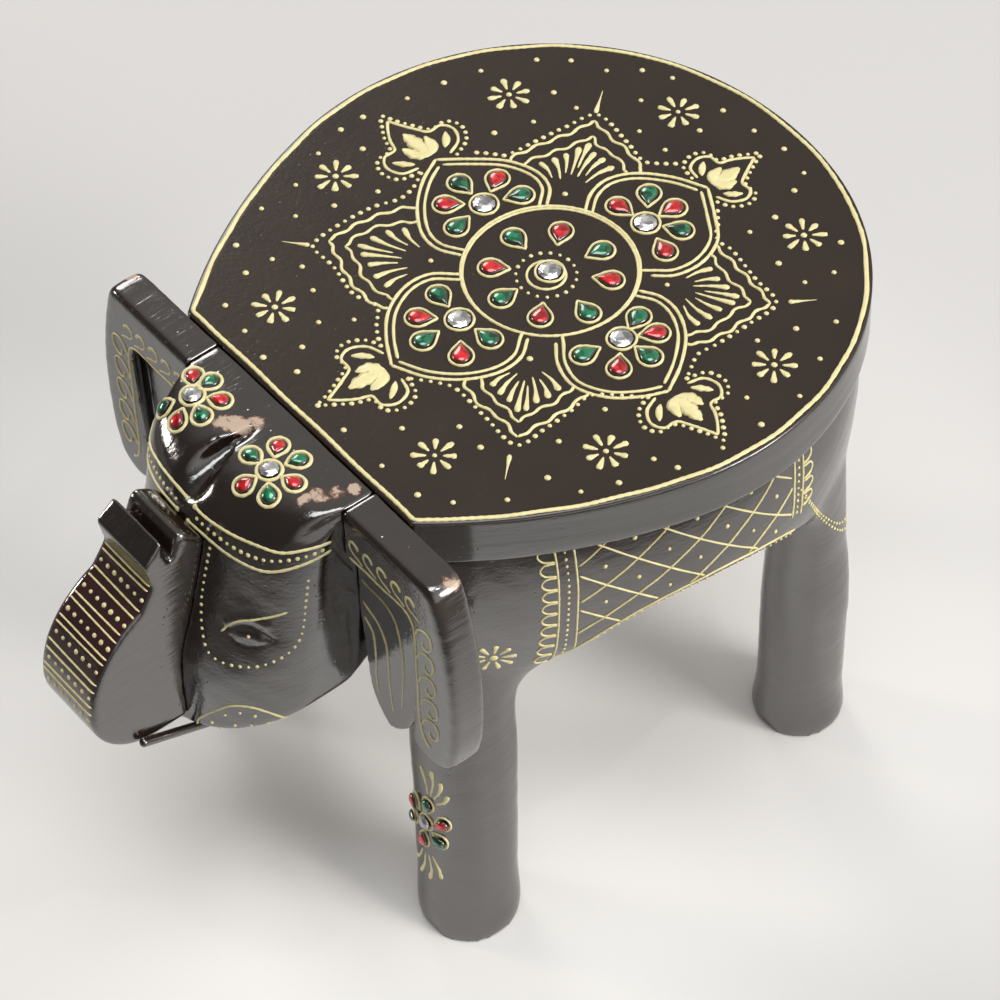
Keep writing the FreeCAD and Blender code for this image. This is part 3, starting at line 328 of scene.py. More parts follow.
def make_seat():
    """Rings of the outline stacked from the middle of the top, over a rounded edge, down the
    side with a faint belly, and in to the middle of the underside."""
    levels = [(92.0, SEAT_TOP), (70.0, SEAT_TOP), (45.0, SEAT_TOP), (20.0, SEAT_TOP),
              (4.0, SEAT_TOP), (1.6, SEAT_TOP - 0.02), (0.9, SEAT_TOP - 0.14),
              (0.35, SEAT_TOP - 0.5), (0.06, SEAT_TOP - 1.2)]
    levels += [(0.0, level) for level in np.linspace(SEAT_TOP - 2.2, SEAT_BASE + 2.0, 9)]
    levels += [(0.1, SEAT_BASE + 1.1), (0.4, SEAT_BASE + 0.4), (1.0, SEAT_BASE),
               (40.0, SEAT_BASE)]
    base = seat_ring(0.0, 1.6)
    reach = base - SEAT_MIDDLE
    rings = []
    for inset, level in levels:
        flat = SEAT_MIDDLE + reach * (1 - inset / 96.0) if inset > 4 \
            else base - unit(reach) * inset
        rings.append(np.c_[flat[:, 0], flat[:, 1] + SEAT_SHIFT, np.full(len(flat), level)])
    points = np.concatenate(rings)
    streaks = waves(points * (1, 1, 9), 60, 5)
    on_side = (points[:, 2] < SEAT_TOP - 1.0) & (points[:, 2] > SEAT_BASE + 0.6)
    outward = unit(points[:, :2] - (0, SEAT_SHIFT) - SEAT_MIDDLE)
    points[:, :2] -= outward * (0.14 + 0.14 * streaks)[:, None] * on_side[:, None]
    piece = new_piece("seat_board", points, ring_faces(len(levels), len(base), turned=True))
    for face in piece.data.polygons:
        lowest = points[list(face.vertices), 2].min()
        face.material_index = 0 if lowest > SEAT_TOP - 0.6 else 1
        face.use_smooth = len(face.vertices) == 4
    return piece


seat = make_seat()
seat.data.materials.append(lacquer("satin_seat_lacquer", "#231A15", "#33271E",
                                   (1.0, 1.0, 1.0), 0.22, 1.6, 0.00010))
seat.data.materials.append(lacquer("brushed_edge_lacquer", "#120E0B", "#221A15",
                                   (0.12, 0.12, 1.0), ripple=0.00016))
wear_and_highlight_at(seat, [])
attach(seat, "root")
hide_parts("seat")


# Head: a carved block with narrow slit eyes, under the same black lacquer. At the rims of the
# crown's scoops pale spots are painted: partly lacquer rubbed off to the wood, partly a
# painted highlight.
def spline(points, step, closed=False):
    """A smooth line through points: each span is a cubic whose ends follow its neighbours,
    cut into lengths of one step."""
    points = np.asarray(points, float)
    if closed:
        before, after = points[-1:], points[:2]
    else:
        before, after = 2 * points[:1] - points[1:2], 2 * points[-1:] - points[-2:-1]
    frame_points = np.concatenate([before, points, after])
    pieces = []
    for index in range(len(frame_points) - 3):
        a, b, c, d = frame_points[index:index + 4]
        count = max(1, round(float(np.linalg.norm(c - b)) / step))
        share = (np.arange(count) / count)[:, None]
        pieces.append(0.5 * (2 * b + (c - a) * share + (2 * a - 5 * b + 4 * c - d) * share ** 2
                             + (3 * b - a - 3 * c + d) * share ** 3))
    if not closed:
        pieces.append(frame_points[-2:-1])
    return np.concatenate(pieces)


def knife_line(points, width, depth):
    """A mark that lowers a piece along a line by a rounded groove."""
    line = spline(points, 0.4)
    tree = KDTree(len(line))
    for index, point in enumerate(line):
        tree.insert(point, index)
    tree.balance()
    low, high = line.min(0) - 3 * width, line.max(0) + 3 * width

    def mark(places):
        rise = np.zeros(len(places))
        for index in np.flatnonzero(((places > low) & (places < high)).all(1)):
            distance = tree.find(places[index])[2]
            rise[index] = -depth * math.exp(-(distance / width) ** 2)
        return rise

    return mark


UPPER_LID = [(22.0, -104.6, 153.0), (25.2, -102.9, 155.9), (28.8, -100.6, 157.0),
             (32.0, -98.4, 155.6), (35.0, -95.6, 152.4)]
EYE_BALL = [(26.6, -103.2, 152.2), (29.4, -101.2, 152.8), (31.8, -99.2, 152.2)]
EYE_FOLD = [(22.6, -103.6, 155.8), (25.6, -101.6, 158.6), (29.2, -99.2, 159.6),
            (32.6, -97.0, 158.0)]
LOWER_LID = [(23.6, -104.8, 150.6), (26.5, -103.8, 149.0), (30.0, -101.6, 148.8),
             (33.0, -98.6, 150.2)]
EYE_LINES = ((UPPER_LID, 0.7, 0.5), (LOWER_LID, 0.6, 0.4), (EYE_BALL, 1.7, -0.6),
             (EYE_FOLD, 1.4, -0.5))
head_marks = [knife_line([(side * x, y, z) for x, y, z in line], width, depth)
              for line, width, depth in EYE_LINES for side in (1, -1)]
head = carved("head", 0.85, 10, 0.12, 21, head_marks,
              soft=((40, [(-4.7, -98.0, 197.0, 20.0), (41.0, -86.0, 190.0, 16.0),
                          (-41.0, -86.0, 190.0, 16.0)]),),
              # Pale spots on the crown's scoops: worn lacquer and painted highlight.
              worn_and_highlit=[(-12.0, -77.0, 198.5, 7.0), (-8.0, -73.0, 198.5, 8.0),
                    (-5.5, -68.0, 199.0, 6.0), (29.0, -76.0, 198.5, 5.0),
                    (31.0, -72.0, 199.0, 6.5), (33.0, -67.0, 199.0, 6.0),
                    (35.0, -62.0, 199.0, 4.5)])


# Trunk: sawn to its side profile from one board, with a square-cut curled tip and a
# red-brown lacquer on the face that carries the painted rows.
trunk = carved("trunk", 0.7, 4, 0.06, 31,
               soft=((25, [(x, -110.0, 186.0, 11.0) for x in (-17.0, -9.0, 0.0, 8.0)]),))
trunk.data.materials.append(lacquer("red_brown_lacquer", "#1C0809", "#43161A",
                                    (0.10, 1.0, 1.0)))
for face in trunk.data.polygons:
    front = abs(face.normal.x) < 0.5 and face.normal.y < -0.1
    face.material_index = 1 if front and face.center.z / MM < 173 else 0


# Ears: flat boards with a raised rim, rounded by hand along the outer edge. A reddish and pale
# spot at the top outer corner is partly lacquer worn through to the wood and partly a painted
# highlight.
ears = []
for side, word in ((1, "left"), (-1, "right")):
    outer_edge = [(side * (86.0 + 5.0 * math.sin(math.pi * (196 - z) / 80)), y, z, 11.0)
                  for y in (-70.5, -57.4) for z in range(116, 199, 8)]
    top_edge = [(side * x, y, 200.0, 8.0) for y in (-70.5, -57.4) for x in range(48, 88, 6)]
    ears.append(carved("ear_" + word, 0.62, 4, 0.05, 41,
                       soft=((30, outer_edge), (12, top_edge)),
                       # Painted highlight as well as wear at the top outer corner.
                       worn_and_highlit=[(side * 82.5, -61.5, 197.5, 6.5)]))


# Tusks and tail: small carved sticks under the black lacquer, glued into the jaw and
# laid on the rump.
for node, grid in (("tusk_left", 0.3), ("tusk_right", 0.3), ("tail", 0.5)):
    carved(node, grid, 4, 0.03, 51)


# Dowels: turned beech pegs, left bare and matt, hidden in the joints. They keep their
# CAD shape.
def clouded(name, scale, detail, first, second, surface):
    """A material of two tones in a cloudy noise, with the shader's own values in surface."""
    made, tree, place = new_material(name)
    cloud = add(tree, "TexNoise", {"Vector": place, "Scale": scale, "Detail": detail})
    tint = add(tree, "Mix", {"Factor": cloud, "A": linear(first), "B": linear(second)},
               data_type="RGBA")
    add(tree, "OutputMaterial",
        {"Surface": add(tree, "BsdfPrincipled", {"Base Color": tint, **surface})})
    return made


# Oiled grain in clouds 6 mm wide.
beech = clouded("turned_beech", 160.0, 4.0, "#C9A57C", "#A98055", {"Roughness": 0.6})
for group in ("seat_dowels", "head_dowels", "ear_dowels", "trunk_dowels"):
    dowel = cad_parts[group]
    dowel.data.materials.clear()
    dowel.data.materials.append(beech)


# Glass stones: pressed glass, silvered behind. The coloured drops have domed tops and
# the round clear ones flat facets, so the colour is deep and the facets flash; glints are
# also painted into the colour.
STONE_RISE = 1.35


def glass(name, deep, glint_colour, metal):
    """Foil-backed glass: a coloured metal-like back seen through a clear, smooth front,
    with painted glints: cells 2 mm apart in a brighter copy of the colour. The attribute
    named rim, 1 at the girdle, shows the dark ground through the edge."""
    made, tree, place = new_material(name)
    # Painted glints: cells of a brighter copy of the colour, 2 mm apart.
    cells = add(tree, "TexVoronoi", {"Vector": place, "Scale": 520.0})
    painted_glint = add(tree, "SeparateXYZ", {"Vector": cells.outputs["Color"]})
    tone = add(tree, "Mix", {"Factor": painted_glint, "A": linear(deep), "B": linear(glint_colour)},
               data_type="RGBA")
    rim = add(tree, "Attribute", attribute_name="rim").outputs["Fac"]
    inward = add(tree, "MapRange", {"Value": rim, "From Min": 0.5, "From Max": 0.85})
    seen = add(tree, "Mix", {"Factor": inward, "A": tone, "B": linear("#2A2624")},
               data_type="RGBA")
    shader = add(tree, "BsdfPrincipled", {
        "Base Color": seen, "Metallic": metal, "Roughness": 0.28, "Coat Weight": 1.0,
        "Coat Roughness": 0.03, "Coat IOR": 1.7})
    add(tree, "OutputMaterial", {"Surface": shader})
    return made


# Each stone's second colour is its painted glint.
GLASS = {"red": glass("silvered_red_glass", "#8E040C", "#F2222A", 0.35),
         "green": glass("silvered_green_glass", "#03261A", "#149060", 0.35),
         "clear": glass("silvered_clear_glass", "#8A8A8E", "#FFFFFF", 0.85)}


def loose_parts(mesh):
    """Arrays of the points of each separate solid in a mesh, in millimetres."""
    points = points_of(mesh)
    keys = np.round(points, 3)
    _, first, same = np.unique(keys, axis=0, return_index=True, return_inverse=True)
    same = same.ravel()
    parent = np.arange(len(first))

    def root(item):
        while parent[item] != item:
            parent[item] = parent[parent[item]]
            item = parent[item]
        return item

    for edge in mesh.edges:
        a, b = root(same[edge.vertices[0]]), root(same[edge.vertices[1]])
        parent[a] = b
    roots = np.array([root(item) for item in range(len(first))])
    return [points[first[roots == number]] for number in np.unique(roots)]


def stone_girdle(points, outward_hint):
    """The stone's outline as seen along its normal, its centre, normal and two axes.

    The normal is the direction in which the solid is thinnest; the outline is the convex
    hull of its points across that, found as a lower and an upper chain.
    """
    middle = points.mean(0)
    _, _, axes = np.linalg.svd(points - middle)
    normal = axes[2] if axes[2] @ outward_hint > 0 else -axes[2]
    along, across = axes[0], np.cross(normal, axes[0])
    flat = np.c_[(points - middle) @ along, (points - middle) @ across]
    order = sorted(range(len(flat)), key=lambda index: tuple(flat[index]))
    hull = []
    for run in (order, order[::-1]):
        chain = []
        for index in run:
            while len(chain) > 1:
                first, second = flat[chain[-1]] - flat[chain[-2]], flat[index] - flat[chain[-1]]
                if first[0] * second[1] - first[1] * second[0] > 0.02:
                    break
                chain.pop()
            chain.append(index)
        hull += chain[:-1]
    base = ((points - middle) @ normal).min() + 0.1
    return flat[hull], middle + normal * base, normal, along, across


def at_steps(path, step=0.0, count=0):
    """Points along a path at one step, or at even steps that give a count."""
    length = np.r_[0, np.cumsum(sizes(np.diff(path, axis=0)))]
    marks = np.arange(0, length[-1], step) if step \
        else np.linspace(0, length[-1], count, endpoint=False)
    return np.stack([np.interp(marks, length, places) for places in path.T], axis=1)


def even(outline, count):
    """A closed outline as a number of corners at even steps."""
    return at_steps(np.vstack([outline, outline[:1]]), count=count)


DOME = ((1.0, 0.0, 1.0), (1.0, 0.22, 1.0), (0.90, 0.52, 0.8), (0.70, 0.80, 0.4),
        (0.40, 0.96, 0.0), (0.14, 1.0, 0.0))
BRILLIANT = ((1.0, 0.0, 1.0), (1.0, 0.30, 0.4), (0.72, 0.78, 0.0), (0.50, 0.95, 0.0),
             (0.20, 1.0, 0.0))


def cut_stones(name, stones, domed):
    """Stones as rings of corners over each girdle, closed by a small table.

    Each ring is (share of the outline, share of the rise, rim). Pressed drops are domed
    and smooth; the round clear ones are brilliants of flat facets, each ring turned by
    half a corner.
    """
    corners, faces, rim = [], [], []
    profile, count = (DOME, 18) if domed else (BRILLIANT, 10)
    for flat, centre, normal, along, across in stones:
        outline = even(flat, count)
        turned = (outline + np.roll(outline, -1, axis=0)) / 2
        faces += ring_faces(len(profile), count, len(corners))
        for row, (share, rise, edge) in enumerate(profile):
            ring = turned if row % 2 == 0 and row and not domed else outline
            for x, y in ring * share:
                corners.append(centre + along * x + across * y + normal * rise * STONE_RISE)
                rim.append(edge)
    piece = new_piece(name, corners, faces)
    piece.data.attributes.new("rim", "FLOAT", "POINT").data.foreach_set("value", rim)
    if domed:
        piece.data.shade_smooth()
    return piece


settings = {"seat": [], "head": [], "leg": []}
for place_name, hint in (("seat", (0, 0, 1)), ("head", (0, -0.1, 1)), ("leg", (0, -1, 0))):
    for colour in ("red", "green", "clear"):
        node = f"{place_name}_stones_{colour}"
        stones = [stone_girdle(part, np.array(hint))
                  for part in loose_parts(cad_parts[node].data)]
        settings[place_name] += stones
        piece = cut_stones("glass_" + node, stones, colour != "clear")
        piece.data.materials.append(GLASS[colour])
        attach(piece, "root")
        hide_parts(node)


# Cone work: thick pale yellow paint squeezed from a paper cone in raised lines, drops
# and dots that dry with rounded tops, then touched with varnish. It is paler where it
# dried thicker, in clouds 4 mm wide.
cone_paint = clouded("cone_work_paint", 240.0, 3.0, "#CFC284", "#EFE7B4",
                     {"Roughness": 0.42, "Coat Weight": 0.25, "Coat Roughness": 0.2})
LINE_WIDTH, LINE_RISE = 1.2, 0.42
SUNK = 0.25
RIM = 6


class ConeWork:
    """Raised paint on one surface, or on the level seat top if it is none, gathered as
    rings of points and made into one piece."""

    def __init__(self, skin):
        self.skin = skin
        self.corners, self.faces, self.count = [], [], 0

    def lay(self, points):
        """The nearest places on the surface, and the surface normals there."""
        if self.skin is None:
            return points, np.tile((0.0, 0.0, 1.0), (len(points), 1))
        hits = [self.skin.find_nearest(point) for point in points]
        return (np.array([tuple(hit[0]) for hit in hits]),
                np.array([tuple(hit[1]) for hit in hits]))

    def hold(self, grid, faces):
        self.corners.append(grid)
        self.faces += faces
        self.count += len(grid)

    def line(self, points, width=LINE_WIDTH, rise=LINE_RISE, closed=False, swell=None):
        """A bead along a smooth line: each ring is half an ellipse above the surface.

        The width follows swell, a function of the share of the length, and trembles as
        a hand does; both ends run out to a point.
        """
        places, normals = self.lay(spline(points, 0.8, closed))
        if len(normals) > 3:
            normals = normals + np.roll(normals, 1, 0) + np.roll(normals, -1, 0)
        normals = unit(normals)
        ways = np.roll(places, -1, 0) - np.roll(places, 1, 0) if closed \
            else np.gradient(places, axis=0)
        ways /= sizes(ways)[:, None] + 1e-9
        across = np.cross(ways, normals)
        share, rows = np.linspace(0, 1, len(places)), len(places)
        tremble = places.sum(1)
        size = width * (1 + 0.10 * np.sin(tremble * 1.7) + 0.06 * np.sin(tremble * 4.1))
        if swell is not None:
            size = size * swell(share)
        if not closed:
            length = np.minimum(share, 1 - share) * rows * 0.8
            size = size * np.clip(0.25 + length / (0.7 * width), 0, 1) ** 0.5
        height = rise * np.minimum(size / width, 1.3)
        rings = [places + across * (math.cos(turn) * size / 2)[:, None]
                 + normals * (math.sin(turn) * height)[:, None]
                 for turn in np.linspace(0, math.pi, RIM - 2)]
        rings += [places + side * across * (size * 0.4)[:, None] - normals * SUNK
                  for side in (-1, 1)]
        self.hold(np.stack(rings, axis=1).reshape(-1, 3),
                  ring_faces(rows, RIM, self.count, closed, turned=True))

    def dots(self, points, radius=0.8, rise=0.55):
        """Drops of paint: three rings and a top, round seen from above."""
        turns = np.arange(8) * math.tau / 8
        for place, normal in zip(*self.lay(np.asarray(points, float))):
            along = np.cross(normal, (0.3, 0.9, 0.1))
            along /= np.linalg.norm(along)
            across = np.cross(normal, along)
            circle = np.cos(turns)[:, None] * along + np.sin(turns)[:, None] * across
            size = radius * (1 + 0.16 * math.sin(place.sum() * 7.3))
            rings = [place + circle * size * 0.8 - normal * SUNK, place + circle * size,
                     place + circle * size * 0.7 + normal * rise * 0.75,
                     (place + normal * rise)[None, :]]
            top = self.count + 24
            self.hold(np.concatenate(rings), ring_faces(3, 8, self.count)[:-1]
                      + [(top - 8 + number, top - 8 + (number + 1) % 8, top)
                         for number in range(8)])

    def row(self, points, spacing, radius=0.6):
        """A line of dots at even spacing."""
        self.dots(at_steps(spline(points, 0.4), spacing), radius, 0.45)

    def club(self, points, width, tail=0.3):
        """A drop drawn out to a tail: thin at its start, full and round at its end."""
        self.line(points, width, LINE_RISE * 1.3,
                  swell=lambda share: tail + (1 - tail) * np.clip(share * 1.1, 0, 1) ** 2)

    def make(self, name):
        piece = new_piece(name, np.concatenate(self.corners), self.faces)
        piece.data.shade_smooth()
        piece.data.materials.append(cone_paint)
        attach(piece, "root")


def ring_settings(work, stones, gap, width=0.95):
    """A closed bead round each stone, outside its girdle by a gap."""
    for flat, centre, normal, along, across in stones:
        flat = even(flat, 16)
        outline = flat * (1 + gap / sizes(flat))[:, None]
        ring = centre + outline[:, :1] * along + outline[:, 1:] * across
        work.line(ring, width, 0.55, closed=True)


# Painting of the seat top: a ring with four pointed petals, a fan between each two, a
# spade-shaped bud on each petal's tip, eight small flowers and a scatter of dots.
def on_seat(pairs):
    pairs = np.asarray(pairs, float)
    return np.c_[pairs[:, 0], pairs[:, 1] + SEAT_SHIFT, np.full(len(pairs), SEAT_TOP)]


seat_work = ConeWork(None)
edge = seat_ring(2.1, 4.0)
edge += 0.16 * np.c_[np.sin(np.arange(len(edge)) * 1.1), np.cos(np.arange(len(edge)) * 0.7)]
seat_work.line(on_seat(edge), 1.5, 0.4, closed=True)

turns = np.arange(24) * math.tau / 24
for radius, x, y, width in ((28.9, 2.5, 4.7, 1.15), (28.3, 2.9, 4.3, 0.9), (6.3, 3.4, 2.2, 1.0)):
    seat_work.line(on_seat(np.c_[x + radius * np.cos(turns), y + radius * np.sin(turns)]),
                   width, closed=True)
turns = np.arange(19) * math.tau / 19
seat_work.dots(on_seat(np.c_[3.4 + 9.9 * np.cos(turns), 2.2 + 9.8 * np.sin(turns)]), 0.68)

PETALS = (
    ((-10.1, 29.4), (-15.8, 37.0), (-17.3, 45.4), (-13.4, 54.1), (-4.2, 62.2), (6.9, 67.7),
     (17.6, 61.3), (26.9, 54.6), (31.2, 44.5), (30.2, 34.4), (25.2, 27.7)),
    ((27.7, 20.5), (34.4, 24.2), (42.8, 24.0), (52.1, 19.3), (60.5, 10.1), (66.7, -0.3),
     (63.0, -8.4), (56.3, -16.8), (46.2, -21.7), (36.1, -19.8), (28.2, -14.3)),
    ((21.0, -19.8), (26.0, -26.9), (26.4, -36.1), (21.8, -46.2), (13.4, -54.6), (2.4, -60.1),
     (-8.4, -53.8), (-16.8, -46.2), (-21.7, -36.1), (-21.2, -26.5), (-14.8, -18.8)),
    ((-21.0, -13.1), (-28.6, -17.3), (-37.0, -16.8), (-47.0, -10.9), (-55.4, -2.0),
     (-60.8, 7.6), (-54.1, 16.1), (-45.4, 25.2), (-35.3, 29.6), (-26.9, 28.4), (-20.7, 22.2)),
)
CIRCLE_MIDDLE, CIRCLE_RADIUS = np.array((2.5, 4.7)), 28.6
PETAL_GAP = 2.4
petal_edges = []
for petal in PETALS:
    petal = np.array(petal)
    axis = petal[5] - CIRCLE_MIDDLE
    axis /= np.linalg.norm(axis)
    beside = np.array((-axis[1], axis[0]))
    for half in (petal[:6], petal[5:][::-1]):
        outer = spline(half, 1.2)
        inward = unit(np.gradient(outer, axis=0))[:, ::-1] * (-1, 1)
        side = 1.0 if (half[2] - CIRCLE_MIDDLE) @ beside > 0 else -1.0
        inward *= np.sign((inward @ beside).mean()) * -side
        inner = outer + inward * PETAL_GAP
        inner = inner[(inner - CIRCLE_MIDDLE) @ beside * side > 0]
        away = inner[0] - CIRCLE_MIDDLE
        foot = CIRCLE_MIDDLE + away / np.linalg.norm(away) * CIRCLE_RADIUS
        inner = np.vstack([foot, inner[sizes(inner - CIRCLE_MIDDLE) > CIRCLE_RADIUS + 0.6]])
        petal_edges.append(outer)
        seat_work.line(on_seat(outer), 1.2)
        seat_work.line(on_seat(inner), 1.1)
petal_edges = np.concatenate(petal_edges)

FANS = (
    ((-21.0, 30.2),
     ((-14.3, 57.1), (-23.5, 58.8), (-32.8, 58.5), (-41.2, 59.6), (-41.7, 50.4), (-43.7, 40.3),
      (-45.4, 28.6)),
     ((-16.5, 52.4), (-23.5, 54.1), (-30.2, 52.9), (-35.8, 54.6), (-37.0, 46.2), (-39.0, 37.8),
      (-40.7, 30.2))),
    ((31.6, 29.1),
     ((28.2, 52.4), (37.0, 51.7), (48.7, 50.4), (58.8, 49.1), (59.1, 38.6), (59.3, 28.6),
      (57.1, 19.3)),
     ((31.9, 48.4), (40.3, 46.2), (48.7, 45.7), (54.6, 44.5), (54.1, 37.0), (55.1, 28.6),
      (53.4, 21.8))),
    ((28.2, -24.9),
     ((51.2, -20.2), (52.1, -30.2), (51.7, -40.3), (51.2, -48.7), (42.0, -47.9), (33.6, -49.1),
      (25.2, -47.9)),
     ((46.7, -24.4), (47.4, -31.9), (46.2, -38.6), (46.7, -44.5), (38.6, -44.0), (32.8, -44.5),
      (27.2, -43.3))),
    ((-25.5, -22.2),
     ((-49.6, -13.4), (-52.9, -23.5), (-54.1, -33.6), (-53.8, -42.0), (-45.4, -44.5),
      (-33.6, -47.9), (-21.0, -47.9)),
     ((-43.7, -16.8), (-48.4, -25.2), (-49.6, -33.6), (-48.4, -39.5), (-42.0, -40.3),
      (-31.9, -43.7), (-21.5, -42.8))),
)


def to_petal(path):
    """The path with its ends drawn on to the nearest petal's edge."""
    path = np.array(path)
    first, last = (petal_edges[sizes(petal_edges - end).argmin()] for end in path[[0, -1]])
    return np.vstack([first, path, last])


for pivot, outer, inner in FANS:
    for outline, width in ((to_petal(outer), 1.15), (to_petal(inner), 1.05)):
        for half in (outline[:5], outline[4:]):
            bent = spline(half, 1.0)
            sideways = unit(np.gradient(bent, axis=0))[:, ::-1] * (-1, 1)
            length = np.arange(len(bent))
            fade = np.clip(np.minimum(length, length[::-1]) / 3, 0, 1)
            ripple = np.sin(math.tau * length / 8.0) * fade * 0.55
            seat_work.line(on_seat(bent + ripple[:, None] * sideways), width)
    rim = spline(to_petal(inner), 0.5)
    for number, pick in enumerate(np.linspace(0.12, 0.88, 8) * (len(rim) - 1)):
        away = rim[int(pick)] - pivot
        tip, root = pivot + away * 0.87, pivot + away * (0.36 + 0.09 * (number % 2))
        bend = 0.01 * (3.5 - number) * np.array([-away[1], away[0]])
        seat_work.club(on_seat([root, (root + tip) / 2 + bend, tip]), 2.4, 0.28)
    seat_work.dots(on_seat([pivot]), 1.0)

DOTTED = (
    ((-8.4, 66.9), (-12.6, 62.2), (-16.8, 59.6), (-26.9, 61.3), (-42.5, 62.2), (-45.0, 50.4),
     (-46.2, 38.6), (-47.4, 26.9), (-51.2, 23.5), (-56.3, 18.5)),
    ((-58.8, 0.0), (-55.4, -5.9), (-54.1, -12.6), (-56.8, -21.8), (-57.5, -33.6),
     (-56.8, -43.7), (-54.3, -47.9), (-43.7, -47.9), (-30.2, -50.4), (-21.0, -47.9),
     (-13.4, -53.8), (-5.0, -58.5)),
    ((10.9, -58.8), (16.8, -54.1), (23.5, -50.7), (38.6, -51.2), (53.4, -51.2), (54.1, -40.3),
     (53.4, -28.6), (52.4, -20.2), (58.8, -12.6), (64.2, -7.6)),
    ((65.2, 9.2), (60.8, 16.8), (61.3, 23.5), (61.3, 37.0), (60.0, 50.4), (47.9, 52.4),
     (33.6, 55.1), (26.9, 54.6), (20.2, 60.5), (15.1, 64.7)),
)
for path in DOTTED:
    seat_work.row(on_seat(path), 3.1, 0.82)

BUD = np.array(((-6.9, 0.6), (-12.9, 2.0), (-15.0, 6.6), (-12.3, 10.3), (-7.4, 10.6),
                (-5.6, 14.3), (-2.9, 18.0), (0.0, 21.0), (1.8, 17.6), (4.5, 13.3), (7.2, 9.9),
                (12.4, 9.6), (14.6, 5.9), (11.9, 1.5), (5.9, -0.8)))
BUD_LEAVES = (((0.0, 2.2), (0.2, 8.0), (0.0, 14.0), 5.6),
              ((0.0, 2.4), (-3.4, 5.2), (-5.0, 9.6), 4.4),
              ((0.0, 2.4), (3.4, 5.0), (4.8, 9.2), 4.4),
              ((-6.6, 2.4), (-9.2, 4.4), (-12.0, 7.2), 2.6),
              ((6.4, 2.0), (9.0, 3.9), (11.6, 6.8), 2.6))
BUDS = (((6.9, 67.7), (6.2, 89.0)), ((67.2, 0.0), (90.7, -0.5)), ((2.4, -60.1), (1.0, -84.8)),
        ((-60.8, 7.6), (-85.7, 6.7)))
for base, tip in np.array(BUDS):
    axis = (tip - base) / 21.3
    side = 0.82 * np.array([axis[1], -axis[0]])

    def in_bud(pairs):
        pairs = np.asarray(pairs, float)
        return on_seat(base + pairs[:, :1] * side + pairs[:, 1:] * axis)

    for half in (BUD[:8], BUD[7:]):
        seat_work.line(in_bud(half), 1.1)
    seat_work.row(in_bud((0, 8) + (BUD - (0, 8)) * 1.20), 2.75, 0.8)
    for *leaf, width in BUD_LEAVES:
        seat_work.line(in_bud(leaf), width, 0.55,
                       swell=lambda share: 0.2 + 0.8 * np.sin(share * 2.7 + 0.22))

SMALL_FLOWERS = ((-26.4, 83.5), (43.2, 77.3), (79.6, 32.3), (73.3, -31.4), (40.7, -73.1),
                 (-41.5, -73.1), (-75.9, -22.3), (-69.2, 45.7))
for flower in np.array(SMALL_FLOWERS):
    for number in range(8):
        turn = math.tau * number / 8 + 0.04 * flower[0]
        way = np.array((math.cos(turn), math.sin(turn)))
        reach = 7.2 + 0.5 * math.sin(3 * turn + flower[0])
        seat_work.club(on_seat([flower + way * step for step in (2.6, (reach + 2.6) / 2, reach)]),
                       2.8, 0.42)
    seat_work.dots(on_seat([flower]), 1.0)

DASHES = (((-50.4, 70.9), (-43.7, 62.2)), ((67.2, 61.3), (62.2, 53.8)),
          ((-63.5, -53.8), (-56.3, -47.9)), ((62.2, -62.5), (55.4, -55.1)))
for start, end in np.array(DASHES):
    seat_work.club(on_seat([start, (start + end) / 2, end]), 2.0, 0.15)

SCATTER = (
    (-17.3, 95.4), (-3.4, 96.9), (9.4, 98.8), (22.0, 96.3), (26.0, 88.5), (53.3, 84.3),
    (61.8, 73.6), (78.3, 59.6), (86.9, 45.0), (94.6, 29.6), (95.8, 12.6), (95.4, -2.9),
    (92.6, -18.8), (81.0, -47.9), (69.1, -67.2), (59.3, -80.6), (49.9, -87.0), (33.6, -88.2),
    (14.3, -88.2), (1.0, -88.2), (-14.6, -84.5), (-26.4, -89.0), (-39.3, -86.7), (-52.3, -84.8),
    (-59.6, -71.2), (-71.6, -66.2), (-79.6, -49.9), (-69.7, -43.5), (-81.1, -34.8),
    (-88.0, -20.2), (-92.2, -7.6), (-92.2, 1.7), (-89.7, 18.5), (-87.7, 32.6), (-84.2, 45.7),
    (-76.3, 63.5), (-68.5, 72.1), (-57.0, 78.1), (-49.4, 87.4), (-40.0, 92.7), (-15.1, 83.2),
    (-38.6, 77.6), (-27.7, 67.7), (-15.5, 68.5), (-49.7, 58.8), (-60.3, 57.8), (-53.8, 43.7),
    (-58.1, 30.4), (31.1, 75.6), (30.9, 64.9), (47.4, 62.7), (59.1, 63.5), (72.4, 47.9),
    (68.4, 35.1), (84.5, 16.5), (85.2, -22.2), (85.7, -36.6), (70.1, -52.1), (60.8, -40.0),
    (59.8, -20.5), (-61.3, -16.0), (-65.4, -30.9), (-80.3, -7.6), (36.3, -59.8), (47.2, -60.1),
    (25.4, -73.9), (-50.1, -55.6), (-39.5, -59.3), (-59.0, -61.0), (-27.2, -66.4),
    (-22.0, -76.9), (-20.8, -57.1))
seat_work.dots(on_seat(SCATTER), 1.0)
ring_settings(seat_work, settings["seat"], 0.95, 0.9)
seat_work.make("seat_painting")


